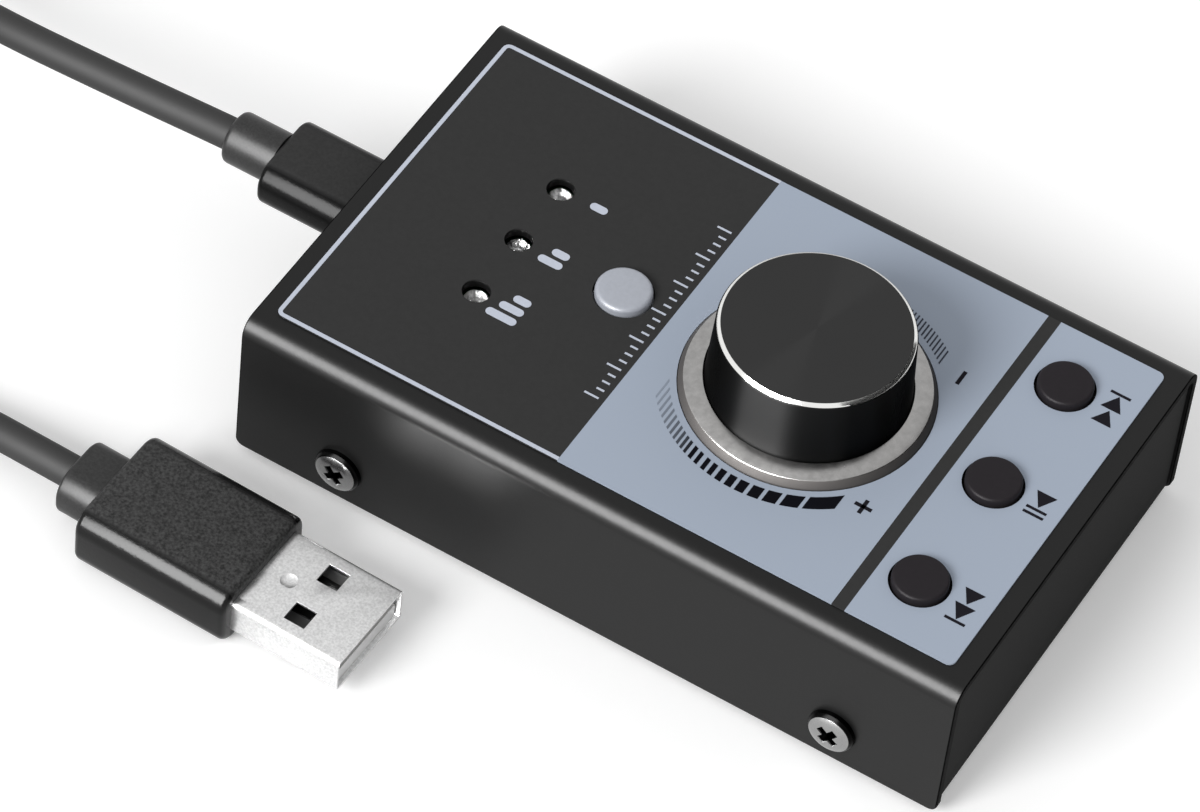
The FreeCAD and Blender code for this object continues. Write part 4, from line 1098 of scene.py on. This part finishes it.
signs = []
for side in (1, -1):
    y = MEDIA_PITCH * side
    signs += [stroke(y + SKIP_BAR * side)]
    signs += [triangle(SIGN_X, SIGN_HALF, y + base * side, y + tip * side)
              for base, tip in SKIP_ARROWS]
signs += [triangle(SIGN_X, SIGN_HALF, *PLAY_ARROW)] + [stroke(y) for y in PAUSE_BARS]
print_signs("button_signs", "dark_ink", signs)

# %% Plus and minus
MARK_X, MARK_Y, MARK_HALF, MARK_STROKE = 22.6, 10.3, 0.98, 0.44
marks = [plate((MARK_X - MARK_STROKE / 2, MARK_X + MARK_STROKE / 2), (y - MARK_HALF, y + MARK_HALF))
         for y in (MARK_Y, -MARK_Y)]
marks.append(plate((MARK_X - MARK_HALF, MARK_X + MARK_HALF),
                   (-MARK_Y - MARK_STROKE / 2, -MARK_Y + MARK_STROKE / 2)))
print_signs("plus_and_minus", "dark_ink", marks)

# %% [markdown]
# The scale round the knob is an arc cut into bars by slits that all run the
# same way. It grows from hair-thin bars to broad ones towards the loud end. A
# thin ring is turned and the bars are laid across it, and a Boolean modifier
# keeps only what both share. The thin bars are printed paler, so their ink fades
# into the colour of the field.

# %% The scale round the knob
SCALE_IN, SCALE_OUT, SCALE_END = 14.35, 15.9, 20
BROAD_BARS = [(17.5, 20.3), (15.36, 17.1), (13.55, 14.94), (11.94, 13.14), (10.5, 11.5),
              (9.28, 10.1), (8.1, 8.83), (7.1, 7.67), (6.2, 6.7), (5.25, 5.7), (4.4, 4.86)]
THIN_LOW, THIN_HIGH, THIN_PITCH, THINNER, THIN_COUNT = 3.66, 4.0, 0.6, 0.015, 11
FAINT_HIGH, FAINT_PITCH, FAINT_WIDTH, FAINT_COUNT = 19.8, 0.48, 0.17, 26
FADE_FROM, FADE_TO, FADE_MOST = -2.4, 4.2, 0.75
THIN_BARS = [(THIN_LOW - THIN_PITCH * step, THIN_HIGH - THIN_PITCH * step - THINNER * step)
             for step in range(THIN_COUNT)]
FAINT_BARS = [(FAINT_HIGH - FAINT_PITCH * step - FAINT_WIDTH, FAINT_HIGH - FAINT_PITCH * step)
              for step in range(FAINT_COUNT)]


def scale_arc(name, ranges, y):
    """The bars of one arc: blocks across the ring, kept where the ring is."""
    bars = [block("bar", (low, y[0], PRINT_FACE - 1), (high, y[1], INK_TOP + 1))
            for low, high in ranges]
    bpy.ops.object.select_all(action="DESELECT")
    for bar in bars:
        bar.select_set(True)
    bpy.ops.object.join()
    bars = bpy.context.object
    ring = turned(name, [(SCALE_IN, PRINT_FACE), (SCALE_IN, INK_TOP), (SCALE_OUT, INK_TOP),
                         (SCALE_OUT, PRINT_FACE)], (KNOB_X, 0), 180, loop=True)
    modify(ring, "BOOLEAN", object=bars, operation="INTERSECT", solver="EXACT")
    bpy.data.objects.remove(bars)
    return ring


scale_ink = ink("scale_ink", 20, 20, 25)
fade = scale_ink.node("MapRange", {}, {
    "Value": scale_ink.axis("X"), "From Min": FADE_FROM * MM, "From Max": FADE_TO * MM,
    "To Min": FADE_MOST, "To Max": 0.0})
scale_ink.paint(fade, PALE)
loud_arc = scale_arc("arc", BROAD_BARS + THIN_BARS, (-SCALE_END, 0))
print_signs("scale_bars", "scale_ink", [loud_arc])
ink("faint_ink", 66, 70, 80)
quiet_arc = scale_arc("arc", FAINT_BARS, (0, SCALE_END))
print_signs("scale_bars_quiet_end", "faint_ink", [quiet_arc])

# %% [markdown]
# ## The cable's finish
# The cable is the one soft thing here. It gets the jacket's finish and rides with
# the case, and the three stretches of cord in the model are hidden, as the curve
# stands in for them.

# %% The cable gets its finish and rides with the case
cable.data.materials.append(finishes["cable_jacket"].material)
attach(cable, "case")
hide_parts("cord_device_stretch", "cord_coil", "cord_plug_stretch")
